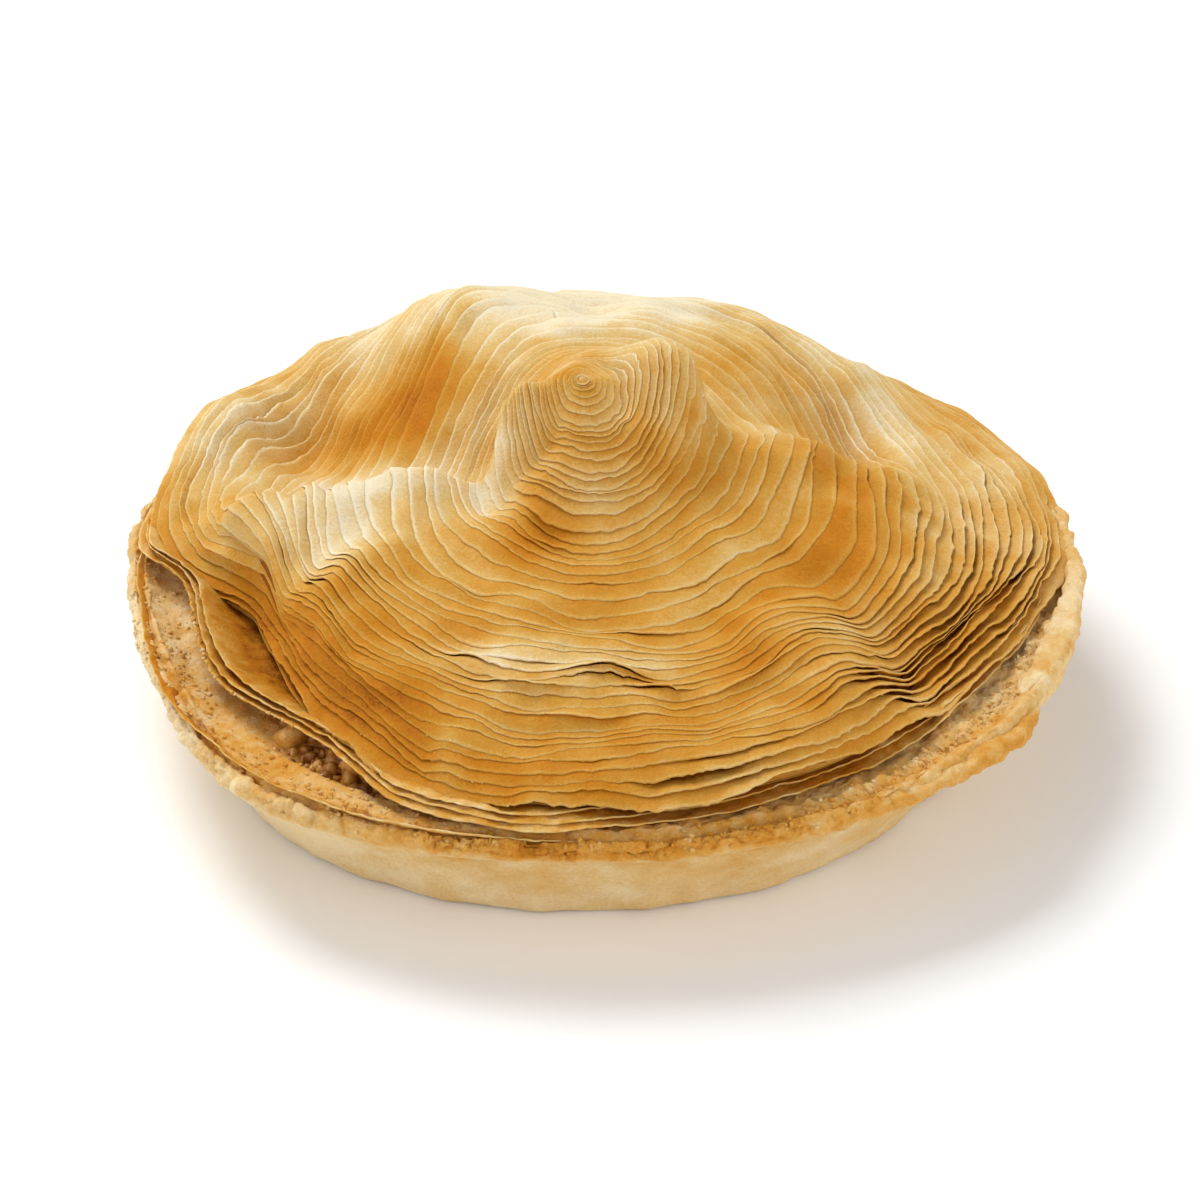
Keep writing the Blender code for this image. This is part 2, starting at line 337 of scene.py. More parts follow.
def lobe_mesh(name, rows, browned_and_painted_light, seed):
    """A lobe: a flattened ring of points, (cos t, sin t) made squarer, carried along its rows."""
    table = np.array(rows)
    azimuth = np.arange(table[0, 0], table[-1, 0], LOBE_STEP)
    smooth = []
    for column in table[:, 1:].T:
        line = np.interp(azimuth, table[:, 0], column)
        for _ in range(12):
            line[1:-1] = (line[:-2] + 2.0 * line[1:-1] + line[2:]) / 4.0
        smooth.append(line[None, :])
    inner, outer, top, thickness = smooth
    turn = np.arange(LOBE_SIDES)[:, None] * 2.0 * np.pi / LOBE_SIDES
    across = flattened(np.cos(turn))
    up = flattened(np.sin(turn))
    radius = (inner + outer) / 2.0 + (outer - inner) / 2.0 * across
    height = top - thickness / 2.0 + thickness / 2.0 * up
    grid = turned(radius, height, 0.0, azimuth[None, :])
    ends = np.clip(np.minimum(azimuth - azimuth[0], azimuth[-1] - azimuth) / 0.8, 0.0, 1.0)[None, :]
    edge = 0.00060 * rough(grid * (1.0, 1.0, 0.4), 0.0034, seed) * np.abs(across)
    push = ends * (0.00024 * rough(grid, 0.0024, seed + 5) + 0.00018 * rough(grid, 0.0011, seed + 9) + edge)
    middle = grid.mean(axis=0, keepdims=True)
    outwards = (grid - middle) / (np.linalg.norm(grid - middle, axis=-1, keepdims=True) + 1e-9)
    grid = grid + outwards * push[..., None]
    brown = browned_and_painted_light + 0.16 * rough(grid, 0.0050, seed + 11) + 0.12 * rough(grid, 0.0013, seed + 13)
    brown = brown + 0.12 * np.clip(across, 0.0, 1.0) ** 4
    brown = np.clip(brown, 0.0, 1.0)
    return grid_piece(name, np.swapaxes(grid, 0, 1)[:, ::-1],
                      {"browned_and_painted_light": np.swapaxes(brown, 0, 1)[:, ::-1]}, capped=True)


class Wire:
    """A shader socket that takes part in Python expressions, each operator adding a Math node."""

    def __init__(self, tree, socket=None):
        self.tree = tree
        self.socket = socket

    def node(self, kind, settings=(), **inputs):
        """Adds a node: its settings first, then the values or links of its sockets.

        A socket goes by its name with _ for a space, or by i and its number where names repeat.
        """
        made = self.tree.nodes.new(kind)
        for label, value in dict(settings).items():
            setattr(made, label, value)
        for label, value in inputs.items():
            place = int(label[1:]) if label[1:].isdigit() else label.replace("_", " ")
            self.connect(value, made.inputs[place])
        return made

    def connect(self, value, socket):
        """Links a Wire to a socket, or sets a plain value there."""
        if isinstance(value, Wire):
            self.tree.links.new(value.socket, socket)
        else:
            socket.default_value = value

    def out(self, made, label=0):
        """The Wire of a node's output."""
        return Wire(self.tree, made.outputs[label])

    def math(self, operation, first, second):
        """A Math node on two values."""
        return self.out(self.node("ShaderNodeMath", {"operation": operation}, i0=first, i1=second))

    def __add__(self, other):
        return self.math("ADD", self, other)

    def __radd__(self, other):
        return self.math("ADD", other, self)

    def __sub__(self, other):
        return self.math("SUBTRACT", self, other)

    def __rsub__(self, other):
        return self.math("SUBTRACT", other, self)

    def __mul__(self, other):
        return self.math("MULTIPLY", self, other)

    def __rmul__(self, other):
        return self.math("MULTIPLY", other, self)

    def __pow__(self, other):
        return self.math("POWER", self, other)

    def clip(self):
        """This value, kept between 0 and 1."""
        return self.out(self.node("ShaderNodeClamp", Value=self))

    def ramp(self, stops):
        """Colours this value through evenly blended stops of (place, colour)."""
        made = self.node("ShaderNodeValToRGB", Fac=self)
        elements = made.color_ramp.elements
        while len(elements) < len(stops):
            elements.new(0.5)
        for element, (place, color) in zip(elements, stops):
            element.position = place
            element.color = (*color, 1.0)
        return self.out(made)

    def attribute(self, label):
        """A value that the mesh carries at its points."""
        return self.out(self.node("ShaderNodeAttribute", {"attribute_name": label}), "Fac")

    def noise(self, scale, detail, roughness):
        """Noise in 0..1 through the object's own space, its cells 1 / scale metres across."""
        place = self.out(self.node("ShaderNodeTexCoord"), "Object")
        made = self.node("ShaderNodeTexNoise", Vector=place, Scale=scale, Detail=detail, Roughness=roughness)
        return self.out(made, "Fac")

    def bumped(self, height, strength, distance):
        """A normal tilted by a height that varies over the surface."""
        return self.out(self.node("ShaderNodeBump", Height=height, Strength=strength, Distance=distance))


def feed(wire, shader, **inputs):
    """Links values into the shader's sockets, or sets them there, each named with _ for a space."""
    for label, value in inputs.items():
        wire.connect(value, shader.inputs[label.replace("_", " ")])


def food_material(name, subsurface, radius):
    """A material with a Principled shader alone, as translucent as the food, and a Wire to build from."""
    material = bpy.data.materials.new(name)
    material.use_nodes = True
    shader = material.node_tree.nodes["Principled BSDF"]
    wire = Wire(material.node_tree)
    feed(wire, shader, Subsurface_Weight=subsurface, Subsurface_Radius=radius, Subsurface_Scale=1.0)
    return material, shader, wire


def shortcrust():
    """Pale floury dough that browns by the mesh's own attribute, with a fine sandy grain."""
    material, shader, wire = food_material("shortcrust", 0.12, (0.0008, 0.0007, 0.0006))
    patch = wire.noise(150.0, 5.0, 0.65)
    fine = wire.noise(1900.0, 4.0, 0.75)
    tone = (wire.attribute("browned_and_painted_light") + (patch - 0.5) * 0.30 + (fine - 0.5) * 0.55).clip()
    color = tone.ramp((
        (0.0, (0.900, 0.700, 0.400)),
        (0.20, (0.810, 0.535, 0.215)),
        (0.45, (0.730, 0.365, 0.066)),
        (0.70, (0.630, 0.240, 0.015)),
        (1.0, (0.360, 0.105, 0.008)),
    ))
    feed(wire, shader, Base_Color=color, Roughness=0.75, Normal=wire.bumped(fine + patch * 0.6, 0.8, 0.0006))
    feed(wire, shader, IOR=1.4, Specular_IOR_Level=0.25)
    return material


def placed(pieces, node, material):
    """Hands pieces over: their finish, the body they ride on and the part they take the place of."""
    for piece in pieces:
        piece.data.materials.append(material)
        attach(piece, "root")
        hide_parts(node)


dough = shortcrust()
lobes = (
    lobe_mesh("crust_plate", LOBES["crust_plate"], 0.32, 301),
    lobe_mesh("crust_flange", LOBES["crust_flange"], 0.14, 321),
)
rim = rim_mesh()
placed((dish_mesh(), rim, *lobes), "base_crust", dough)


# ---------------------------------------------------------------------------------------------
# The filling: minced beef, egg and sausage set in its own jelly. Only a strip of it shows, in
# the gap where the lid has lifted at the left front.
# ---------------------------------------------------------------------------------------------

FILLING_RADIUS = 0.0572
FILLING_EDGE_TOP = 0.0162
FILLING_CROWN = 0.0038
FILLING_COLUMNS = 760
FILLING_REDNESS = 0.4
# Its side and underside, inside the dish: a radius and a height.
FILLING_SIDE = np.array([(0.0566, 0.0150), (0.0514, 0.0054), (0.0490, 0.0041), (0.0, 0.0041)])


def filling_mesh():
    """A low dome, z = edge + crown (1 - (r / R) squared), with lumps of mince standing out of it."""
    share = np.concatenate([np.linspace(0.0, 0.72, 12, endpoint=False), np.linspace(0.72, 0.985, 60)])
    top = FILLING_EDGE_TOP + FILLING_CROWN * (1.0 - share**2)
    radius = np.concatenate([share * FILLING_RADIUS, FILLING_SIDE[:, 0]])[:, None]
    height = np.concatenate([top, FILLING_SIDE[:, 1]])[:, None]
    azimuth = all_round(FILLING_COLUMNS)[None, :]
    grid = turned(radius + 0.0 * azimuth, height, 0.0, azimuth)
    push = 0.0008 * rough(grid, 0.0042, 51) + 0.0007 * np.abs(rough(grid, 0.0021, 57))
    push[0] = push[0].mean()
    push[len(share):] = 0.0
    grid[..., 2] += push
    return grid_piece("filling_meat", grid[::-1], {"redness": np.full(grid.shape[:2], FILLING_REDNESS)})


def meat():
    """Cooked meat and jelly: brown to dark red, wet, with paler bits of egg."""
    material, shader, wire = food_material("meat", 0.10, (0.0006, 0.0006, 0.0006))
    patch = wire.noise(380.0, 5.0, 0.65)
    tone = patch + (wire.attribute("redness") - FILLING_REDNESS) * 0.45
    color = tone.ramp((
        (0.20, (0.150, 0.050, 0.009)),
        (0.42, (0.350, 0.132, 0.017)),
        (0.56, (0.560, 0.260, 0.040)),
        (0.68, (0.700, 0.390, 0.085)),
        (0.80, (0.260, 0.026, 0.008)),
    ))
    feed(wire, shader, Base_Color=color, Roughness=0.40, Normal=wire.bumped(patch, 0.6, 0.0006))
    feed(wire, shader, Coat_Weight=0.15)
    return material


filling_finish = meat()
meat_piece = filling_mesh()
placed((meat_piece,), "filling", filling_finish)


# ---------------------------------------------------------------------------------------------
# The lid: one strip of dough rolled out as thin as paper, greased with lard, wound on itself
# into a coil and laid on the filling. In the oven the turns part and rise, each edge standing
# free over the turn outside it, and the middle climbs to a peak.
# ---------------------------------------------------------------------------------------------

LID_RADIUS = 0.0615
PEAK_HEIGHT = 0.0314
LID_LEVEL = 0.0183
LID_EDGE_HEIGHT = 0.0020
SHELF_HEIGHT = 0.0142
SHELF_POWER = 3.5
CONE_RADIUS = 0.0105
CONE_POWER = 1.35
# The ring inside which swells and draws fade out.
PEAK_CALM = 0.0026
# How far the peak leans to +X and to +Y, and the ring that it fades over.
PEAK_LEAN = (-0.0012, -0.0016, 0.0065)

# Where the coiled lid stands proud of its round profile, or sinks below it: azimuth, spread, ring,
# reach inwards, reach outwards, height.
LID_SWELLS = {
    "shoulder left of the peak": (180, 34, 0.0117, 0.0068, 0.0018, 0.0098),
    "notch beside the whorl, left": (185, 30, 0.0062, 0.0016, 0.0018, -0.0012),
    "hump right of the peak": (12, 38, 0.0120, 0.0070, 0.0026, 0.0106),
    "hump behind the peak": (46, 36, 0.0092, 0.0034, 0.0036, 0.0030),
    "valley between whorl and hump": (10, 42, 0.0052, 0.0011, 0.0012, -0.0024),
    "saddle behind the peak": (100, 40, 0.0110, 0.0050, 0.0060, 0.0016),
    "foot of the peak's front": (262, 50, 0.0150, 0.0050, 0.0060, -0.0026),
    "raised back half": (117, 72, 0.0250, 0.0235, 0.0150, 0.0082),
    "lowered front half": (266, 55, 0.0270, 0.0095, 0.0250, -0.0045),
    "left ridge": (186, 15, 0.0265, 0.0100, 0.0160, 0.0062),
    "left ridge, outer end": (190, 18, 0.0470, 0.0120, 0.0045, 0.0045),
    "right ridge, inner end": (0, 22, 0.0200, 0.0040, 0.0040, 0.0026),
    "right ridge, first rise": (6, 16, 0.0262, 0.0040, 0.0030, 0.0028),
    "right ridge": (4, 16, 0.0370, 0.0070, 0.0070, -0.0004),
    "right ridge, falling away": (2, 20, 0.0465, 0.0060, 0.0072, -0.0048),
    "right edge": (0, 30, 0.0600, 0.0090, 0.0100, -0.0004),
    "right back, outside": (42, 18, 0.0520, 0.0065, 0.0060, -0.0036),
    "hollow behind the left ridge": (169, 29, 0.0300, 0.0115, 0.0225, -0.0104),
    "notch beside the left mound": (145, 16, 0.0440, 0.0110, 0.0060, -0.0085),
    "hollow behind the right ridge": (24, 17, 0.0345, 0.0125, 0.0100, -0.0098),
    "left back mound": (121, 17, 0.0405, 0.0105, 0.0140, 0.0074),
    "right back mound": (60, 45, 0.0420, 0.0090, 0.0075, 0.0048),
    "dip round the peak's left foot": (163, 48, 0.0140, 0.0070, 0.0130, -0.0090),
    "lifted left back edge": (158, 16, 0.0565, 0.0065, 0.0100, 0.0058),
}

# Creases: a path of (ring, azimuth), a spread on its clockwise side and on the other, a height, and
# how softly its top is rounded. Each fades in and out at its ends.
CREASE_FADE = 0.0016
LID_CREASES = {
    "left ridge's crest": (((0.0150, 188), (0.0300, 186), (0.0450, 185), (0.0520, 188)), 6, 11, 0.0022, 0.2),
    "left front pleat, its trough": (((0.0340, 199), (0.0440, 205), (0.0540, 207)), 7, 5, -0.0028, 0.9),
    "left front pleat, its crest": (((0.0330, 211), (0.0440, 217), (0.0520, 220)), 7, 6, 0.0042, 0.7),
    "gully at the peak's left front": (((0.0070, 226), (0.0115, 216), (0.0165, 206)), 12, 9, -0.0026, 0.7),
    "rib below the gully": (((0.0100, 240), (0.0170, 232)), 9, 10, 0.0014, 0.8),
    "rib at the right front of the peak": (((0.0060, 318), (0.0130, 326)), 8, 9, 0.0014, 0.8),
    "left mound's left shoulder": (((0.0360, 146), (0.0500, 138), (0.0600, 129)), 8, 4, 0.0032, 0.3),
    "small fold in the notch": (((0.0440, 160), (0.0560, 151)), 5, 5, 0.0020, 0.5),
    "right ridge's crest": (((0.0150, 352), (0.0260, 354), (0.0360, 359), (0.0500, 357)), 9, 7, 0.0015, 0.3),
    "first pleat on the right ridge": (((0.0285, 8), (0.0345, 7)), 4, 4, 0.0030, 0.4),
    "second pleat on the right ridge": (((0.0365, 5), (0.0450, 5)), 4, 5, 0.0022, 0.4),
    "pleat behind the right ridge": (((0.0210, 20), (0.0330, 24)), 4, 5, 0.0018, 0.6),
    "pleat in front of the right ridge": (((0.0300, 345), (0.0460, 344)), 4, 4, 0.0020, 0.6),
    "second pleat in front of the right ridge": (((0.0340, 334), (0.0500, 335)), 4, 4, 0.0014, 0.8),
    "shoulder of the peak, its corner": (((0.0070, 183), (0.0125, 181)), 14, 18, 0.0020, 0.2),
    "right back mound's shoulder": (((0.0380, 34), (0.0560, 44)), 8, 4, 0.0026, 0.3),
    "wave at the front": (((0.0320, 270), (0.0440, 274)), 9, 7, 0.0024, 1.0),
    "dip right of the front wave": (((0.0320, 286), (0.0470, 292)), 8, 8, -0.0016, 1.2),
    "wave right of the front": (((0.0340, 304), (0.0560, 308)), 8, 7, 0.0020, 1.0),
    "dip at the right front": (((0.0320, 326), (0.0560, 323)), 5, 6, -0.0032, 0.4),
    "wave at the left front": (((0.0400, 238), (0.0560, 242)), 9, 7, 0.0014, 1.0),
    "lip lifted at the front": (((0.0520, 284), (0.0610, 287)), 9, 12, 0.0030, 1.0),
}

# Where the lid's rings leave the circle: azimuth, spread, ring, reach inwards, reach outwards, share.
LID_DRAWS = {
    "pushed out, right back": (30, 45, 0.0220, 0.0100, 0.0140, 0.20),
    "pulled in, left back": (150, 35, 0.0220, 0.0100, 0.0140, -0.10),
    "pushed out, right edge": (14, (32, 38), 0.0600, 0.0150, 0.0120, 0.080),
    "pushed out, left back edge": (154, 24, 0.0600, 0.0150, 0.0120, 0.042),
    "whorl squeezed": (20, 60, 0.0034, 0.0020, 0.0030, -0.16),
    "open gap, left front": (199, (13, 34), 0.0600, 0.0125, 0.0120, -0.212),
    "pulled in, right front": (330, 24, 0.0580, 0.0120, 0.0120, -0.035),
    "flattened front": (274, 40, 0.0600, 0.0300, 0.0120, -0.016),
}


def swells(table, ring, azimuth):
    """The sum of a table's swells, amount x bump x bell, calmed at the peak by 1 - bell."""
    total = np.zeros(np.broadcast(ring, azimuth).shape)
    for centre, spread, middle, inwards, outwards, amount in table.values():
        reach = np.where(ring < middle, inwards, outwards)
        total += amount * bump(azimuth, centre, spread) * bell(ring, middle, reach)
    return total * (1.0 - bell(ring, 0.0, PEAK_CALM))


def creases(ring, azimuth):
    """The sum of the folds, height x exp(soft - root((away / spread) squared + soft squared)).

    Each is faded at both ends by 1 / (1 + exp(distance past the end / fade)).
    """
    total = np.zeros(np.broadcast(ring, azimuth).shape)
    for path, clockwise, anticlockwise, height, soft in LID_CREASES.values():
        rings, azimuths = np.array(path, dtype=float).T
        unwrapped = np.degrees(np.unwrap(np.radians(azimuths)))
        away = (azimuth - np.interp(ring, rings, unwrapped) + 180.0) % 360.0 - 180.0
        spread = np.where(away < 0.0, clockwise, anticlockwise)
        across = np.exp(soft - np.sqrt((away / spread) ** 2 + soft**2))
        fade_in = 1.0 + np.exp((rings[0] - ring) / CREASE_FADE)
        fade_out = 1.0 + np.exp((ring - rings[-1]) / CREASE_FADE)
        total += height * across * (1.0 / fade_in / fade_out)
    return total


def lid_point(ring, azimuth):
    """Where a ring of the lid lies at an azimuth: shelf, cone, swells, creases and soft ripples above."""
    shelf = LID_EDGE_HEIGHT + SHELF_HEIGHT * (1.0 - (ring / LID_RADIUS) ** SHELF_POWER)
    cone_height = PEAK_HEIGHT - LID_EDGE_HEIGHT - SHELF_HEIGHT
    cone = cone_height * np.exp(-((ring / CONE_RADIUS) ** CONE_POWER))
    angle = np.radians(azimuth)
    flat = np.stack([ring * np.cos(angle), ring * np.sin(angle), 0.0 * ring * angle], axis=-1)
    ripples = 0.00085 * grain(flat, 0.0080, 91) + 0.00040 * grain(flat, 0.0036, 92)
    height = LID_LEVEL + shelf + cone + swells(LID_SWELLS, ring, azimuth) + creases(ring, azimuth)
    height = height + ramp_up(ring, 0.004, 0.024) * ripples
    radius = ring * (1.0 + swells(LID_DRAWS, ring, azimuth))
    lean_x, lean_y, lean_reach = PEAK_LEAN
    lean = bell(ring, 0.0, lean_reach)
    return np.stack([
        radius * np.cos(angle) + lean_x * lean,
        radius * np.sin(angle) + lean_y * lean,
        height,
    ], axis=-1)


# The steps that the lid's slopes are taken over, and the ring inside which they stay the same.
SMALL_RING = 0.0003
SMALL_TURN = 0.6
LEAST_RING = 0.0008


def lid_normal(ring, azimuth):
    """The lid's outward direction: the cross product of small steps across the rings and round them."""
    ring = np.maximum(ring, LEAST_RING)
    across = lid_point(ring + SMALL_RING, azimuth) - lid_point(ring - SMALL_RING, azimuth)
    around = lid_point(ring, azimuth + SMALL_TURN) - lid_point(ring, azimuth - SMALL_TURN)
    normal = np.cross(across, around)
    return normal / np.linalg.norm(normal, axis=-1, keepdims=True)


def flaky():
    """Flaky pastry: cream to amber by its attribute, painted shade in crevices, painted highlights on edges.
    """
    material, shader, wire = food_material("flaky_pastry", 0.42, (0.0008, 0.0008, 0.0007))
    fine = wire.noise(2400.0, 3.0, 0.75)
    streak = wire.noise(230.0, 4.0, 0.6)
    across = wire.attribute("across")
    # Painted shade and highlight: depth darkens the colour towards each crevice, and lip pales each free
    # edge.
    depth = (1.0 - across) ** 1.3
    lip = across ** 14.0
    tone = wire.attribute("toast_and_painted_light") + depth * 0.14 - lip * streak * 0.32
    tone = tone + (streak - 0.5) * 0.28 + (fine - 0.5) * 0.40
    color = tone.clip().ramp((
        (0.0, (0.860, 0.730, 0.490)),
        (0.25, (0.715, 0.470, 0.176)),
        (0.5, (0.605, 0.300, 0.048)),
        (0.72, (0.530, 0.198, 0.011)),
        (0.88, (0.450, 0.150, 0.008)),
        (1.0, (0.290, 0.078, 0.004)),
    ))
    feed(wire, shader, Base_Color=color, Roughness=0.60, Normal=wire.bumped(fine, 0.6, 0.0005))
    feed(wire, shader, IOR=1.4, Specular_IOR_Level=0.18, Specular_Tint=(1.0, 0.72, 0.40, 1.0))
    return material


pastry = flaky()


# ---------------------------------------------------------------------------------------------
# The coil: the strip of dough itself, wound from the peak to the rim. Its hidden edge lies under
# the turn inside it, and its free edge rises over the turn outside it.
# ---------------------------------------------------------------------------------------------

# How far apart the turns lie: tight at the peak, middling outside, and wider on the shelf below the
# peak, given as a ring, a reach and how much wider.
TURN_PITCH = 0.00070
TURN_PITCH_OUTSIDE = 0.00140
WIDE_TURNS = (0.0275, 0.0065, 0.00100)
NEAREST_TURNS = 0.00022
COIL_RADIUS = 0.0600
# The last part of a turn in which the strip runs out.
RUN_OUT = 0.30
# How far apart the mesh's cross-sections lie along the strip, and the radius inside which they lie
# no closer in azimuth.
STEP_ALONG = 0.00042
LEAST_RADIUS = 0.0022


def turns_table():
    """The ring at each turn: turns(ring) is the integral of 1 / pitch, read the other way round."""
    ring = np.linspace(0.0, COIL_RADIUS, 4000)
    middle, reach, extra = WIDE_TURNS
    pitch = TURN_PITCH + (TURN_PITCH_OUTSIDE - TURN_PITCH) * ramp_up(ring, 0.008, 0.014)
    pitch = pitch + extra * bell(ring, middle, reach)
    turns = np.concatenate([[0.0], np.cumsum(np.diff(ring) / pitch[1:])])
    return turns, ring


TURNS, RINGS = turns_table()


def azimuth_of(turn):
    """The azimuth that the strip has come to, from how many turns it has made."""
    return (turn * 360.0) % 360.0


def running_out(turn):
    """0 along the strip, and up to 1 in the last part of its last turn."""
    return ramp_up(turn, TURNS[-1] - RUN_OUT, RUN_OUT)


def named_places(table, ring, azimuth):
    """The sum over a table's places, each amount x bump round the pie x bell across the rings."""
    return sum(amount * bump(azimuth, centre, spread) * bell(ring, middle, reach)
               for centre, spread, middle, reach, amount in table.values())


def places_along_strip():
    """How many turns the strip has made at places evenly spaced along it, closer together at the peak."""
    turn = np.linspace(0.0, TURNS[-1], 60000)
    radius = np.maximum(np.interp(turn, TURNS, RINGS), LEAST_RADIUS)
    length = np.concatenate([[0.0], np.cumsum(2.0 * np.pi * radius[1:] * np.diff(turn))])
    return np.interp(np.arange(0.0, length[-1], STEP_ALONG), length, turn)


def strip_noise(turn, cell, seed, unlike=1.7):
    """Noise that runs smoothly along the strip; each turn differs from the next the more it is unlike."""
    azimuth = np.radians(turn * 360.0)
    ring = np.interp(turn, TURNS, RINGS)
    points = np.stack([ring * np.cos(azimuth) / cell, ring * np.sin(azimuth) / cell, unlike * turn], axis=-1)
    return grain(points, 1.0, seed)


# Where the turns are pushed outwards, by up to CROWDING: azimuth, spread, ring, reach, share.
CROWDED_TURNS = {
    "right front": (334, 17, 0.0400, 0.0120, 1.0),
    "right": (2, 20, 0.0480, 0.0090, 0.6),
}
CROWDING = 0.0056


def wandering_edge(turn):
    """The ring that the strip's free edge would take by itself: its turns bunch, spread and wander.

    At the right they lie crowded near the edge, which leaves them far apart further in.
    """
    bunched = turn + 1.00 * strip_noise(turn, 0.016, 60, 0.30) + 0.42 * strip_noise(turn, 0.0075, 61)
    ring = np.interp(bunched - running_out(turn), TURNS, RINGS)
    crowded = named_places(CROWDED_TURNS, ring, azimuth_of(turn))
    ring = ring + CROWDING * crowded * np.clip((LID_RADIUS - ring) / 0.0060, 0.0, 1.0)
    fine = 0.00015 * strip_noise(turn, 0.0026, 62) + 0.00013 * strip_noise(turn, 0.0012, 63)
    fine = fine + 0.00011 * strip_noise(turn, 0.0006, 64)
    return np.where(turn > 0.0, np.maximum(ring + fine * ramp_up(turn, 0.0, 6.0), 0.0), 0.0)


def free_edge(turn):
    """The free edge's ring, kept at least NEAREST_TURNS outside the edges of the turns within it."""
    return np.max([wandering_edge(turn - inwards) + inwards * NEAREST_TURNS for inwards in range(4)], axis=0)


# Single edges that have risen like a lip over the next: azimuth, spread, ring, reach, height.
LIFTED_LIPS = {
    "lens at the front": (273, 6.5, 0.0393, 0.0008, 0.0018),
    "small lens right of it": (284, 5, 0.0418, 0.0007, 0.0012),
    "lens left of it": (258, 7, 0.0420, 0.0008, 0.0014),
    "left lens": (247, 6, 0.0388, 0.0007, 0.0011),
    "lens below": (268, 9, 0.0466, 0.0008, 0.0012),
    "right front": (299, 7, 0.0443, 0.0008, 0.0012),
    "toasted foot": (243, 9, 0.0145, 0.0006, 0.0008),
    "toasted foot, lower": (252, 10, 0.0171, 0.0006, 0.0007),
    "left low": (232, 8, 0.0503, 0.0008, 0.0012),
}

# Places where turns stand apart like pages: azimuth, spread, ring, reach, slit.
LID_OPENINGS = {
    "louvres on the right": (350, 26, 0.0530, 0.0095, 0.00125),
    "long gaps, right front": (326, 15, 0.0555, 0.0045, 0.00170),
    "long gap at the front": (287, 9, 0.0570, 0.0022, 0.00180),
    "pleat at the left front": (214, 11, 0.0430, 0.0080, 0.00030),
    "edges over the open gap": (205, 28, 0.0575, 0.0035, 0.00080),
    "wave at the front": (272, 12, 0.0390, 0.0040, 0.00022),
    "gap left of the front wave": (247, 8, 0.0405, 0.0014, 0.00025),
    "cone's front foot": (247, 16, 0.0140, 0.0026, 0.00030),
    "left ridge": (187, 7, 0.0350, 0.0150, 0.00016),
    "right ridge": (358, 12, 0.0340, 0.0120, 0.00040),
}


def slit(turn, ring, azimuth):
    """The open gap under a free edge: mostly shut, now and then ajar, and opened in named places."""
    opened = named_places(LID_OPENINGS, ring, azimuth)
    opened = opened * np.clip(0.75 + 0.8 * strip_noise(turn, 0.011, 74), 0.1, 1.6)
    ajar = ramp_up(strip_noise(turn, 0.0075, 73), 0.30, 1.0) * ramp_up(ring, 0.012, 0.02)
    return opened + 0.00042 * ajar + 0.24 * named_places(LIFTED_LIPS, ring, azimuth)


# Where the turns lie smooth on each other: azimuth, spread, ring, reach, share.
SMOOTH_TURNS = {
    "hump beside the whorl": (56, 40, 0.0100, 0.0050, 1.0),
    "shoulder left of the peak": (172, 20, 0.0115, 0.0030, 1.0),
}
LEAST_DROP = 0.00005


def step(turn, ring, azimuth):
    """How far a free edge drops to the turn outside it when shut: uneven, and shallow where smooth."""
    drop = 0.00017 + 0.00014 * strip_noise(turn, 0.0085, 71) + 0.00007 * strip_noise(turn, 0.0030, 72)
    drop = drop + 0.00012 * bell(ring, 0.0095, 0.0045)
    drop = drop * (1.0 - 0.8 * np.clip(named_places(SMOOTH_TURNS, ring, azimuth), 0.0, 1.0))
    drop = drop * (1.0 - 0.40 * bell(ring, 0.0265, 0.0070) * bump(azimuth, 290, 60))
    return np.maximum(drop, LEAST_DROP) * (1.0 - running_out(turn))


# Ridges on which each free edge comes to a tooth: azimuth, spread, ring, reach, share.
TOOTHED_RIDGES = {
    "left ridge": (186, 3.0, 0.036, 0.016, 1.0),
    "right ridge": (357, 3.5, 0.040, 0.014, 1.0),
}


def stand(turn, ring, azimuth):
    """How far a free edge stands above the lid's surface, with a tooth where it turns at a ridge."""
    loose = np.clip((ring - 0.004) / 0.020, 0.15, 1.0)
    free = loose * (0.00032 * strip_noise(turn, 0.0080, 75, 0.9) + 0.00010 * strip_noise(turn, 0.0034, 76))
    free = free + loose * 0.00040 * strip_noise(turn, 0.0120, 78, 0.35)
    teeth = 0.00080 * strip_noise(turn, 0.0120, 77) + 0.00115 * strip_noise(turn, 0.0120, 79, 2.6)
    teeth = named_places(TOOTHED_RIDGES, ring, azimuth) * (0.00040 + teeth)
    return free + named_places(LIFTED_LIPS, ring, azimuth) + teeth


# The strip's cross-section: how far it has come from under the turn inside it (0) to its free edge
# (1), its share of the climb between them, thicknesses down, its hidden drop, and its tone's place.
# The tone's place sets the painted shade in the crevice (0) and the painted highlight on the free edge (1).
STRIP_SECTION = np.array([
    (-0.50, 0.00, 0.0, 1.0, 0.00),
    (0.00, 0.00, 0.0, 0.0, 0.10),
    (0.10, 0.10, 0.0, 0.0, 0.30),
    (0.26, 0.25, 0.0, 0.0, 0.50),
    (0.46, 0.45, 0.0, 0.0, 0.66),
    (0.66, 0.66, 0.0, 0.0, 0.80),
    (0.84, 0.87, 0.0, 0.0, 0.92),
    (0.95, 1.00, 0.0, 0.0, 1.00),
    (1.00, 1.00, 0.18, 0.0, 1.00),
    (1.05, 1.00, 0.54, 0.0, 0.98),
    (1.08, 1.00, 0.92, 0.0, 0.88),
    (0.94, 0.97, 1.08, 0.0, 0.45),
    (0.62, 0.66, 1.10, 0.0, 0.05),
    (0.22, 0.24, 1.25, 0.0, 0.00),
    (-0.20, 0.00, 1.60, 0.5, 0.00),
])
HIDDEN_DROP = 0.0005
STRIP_THICKNESS = (0.00012, 0.00034)


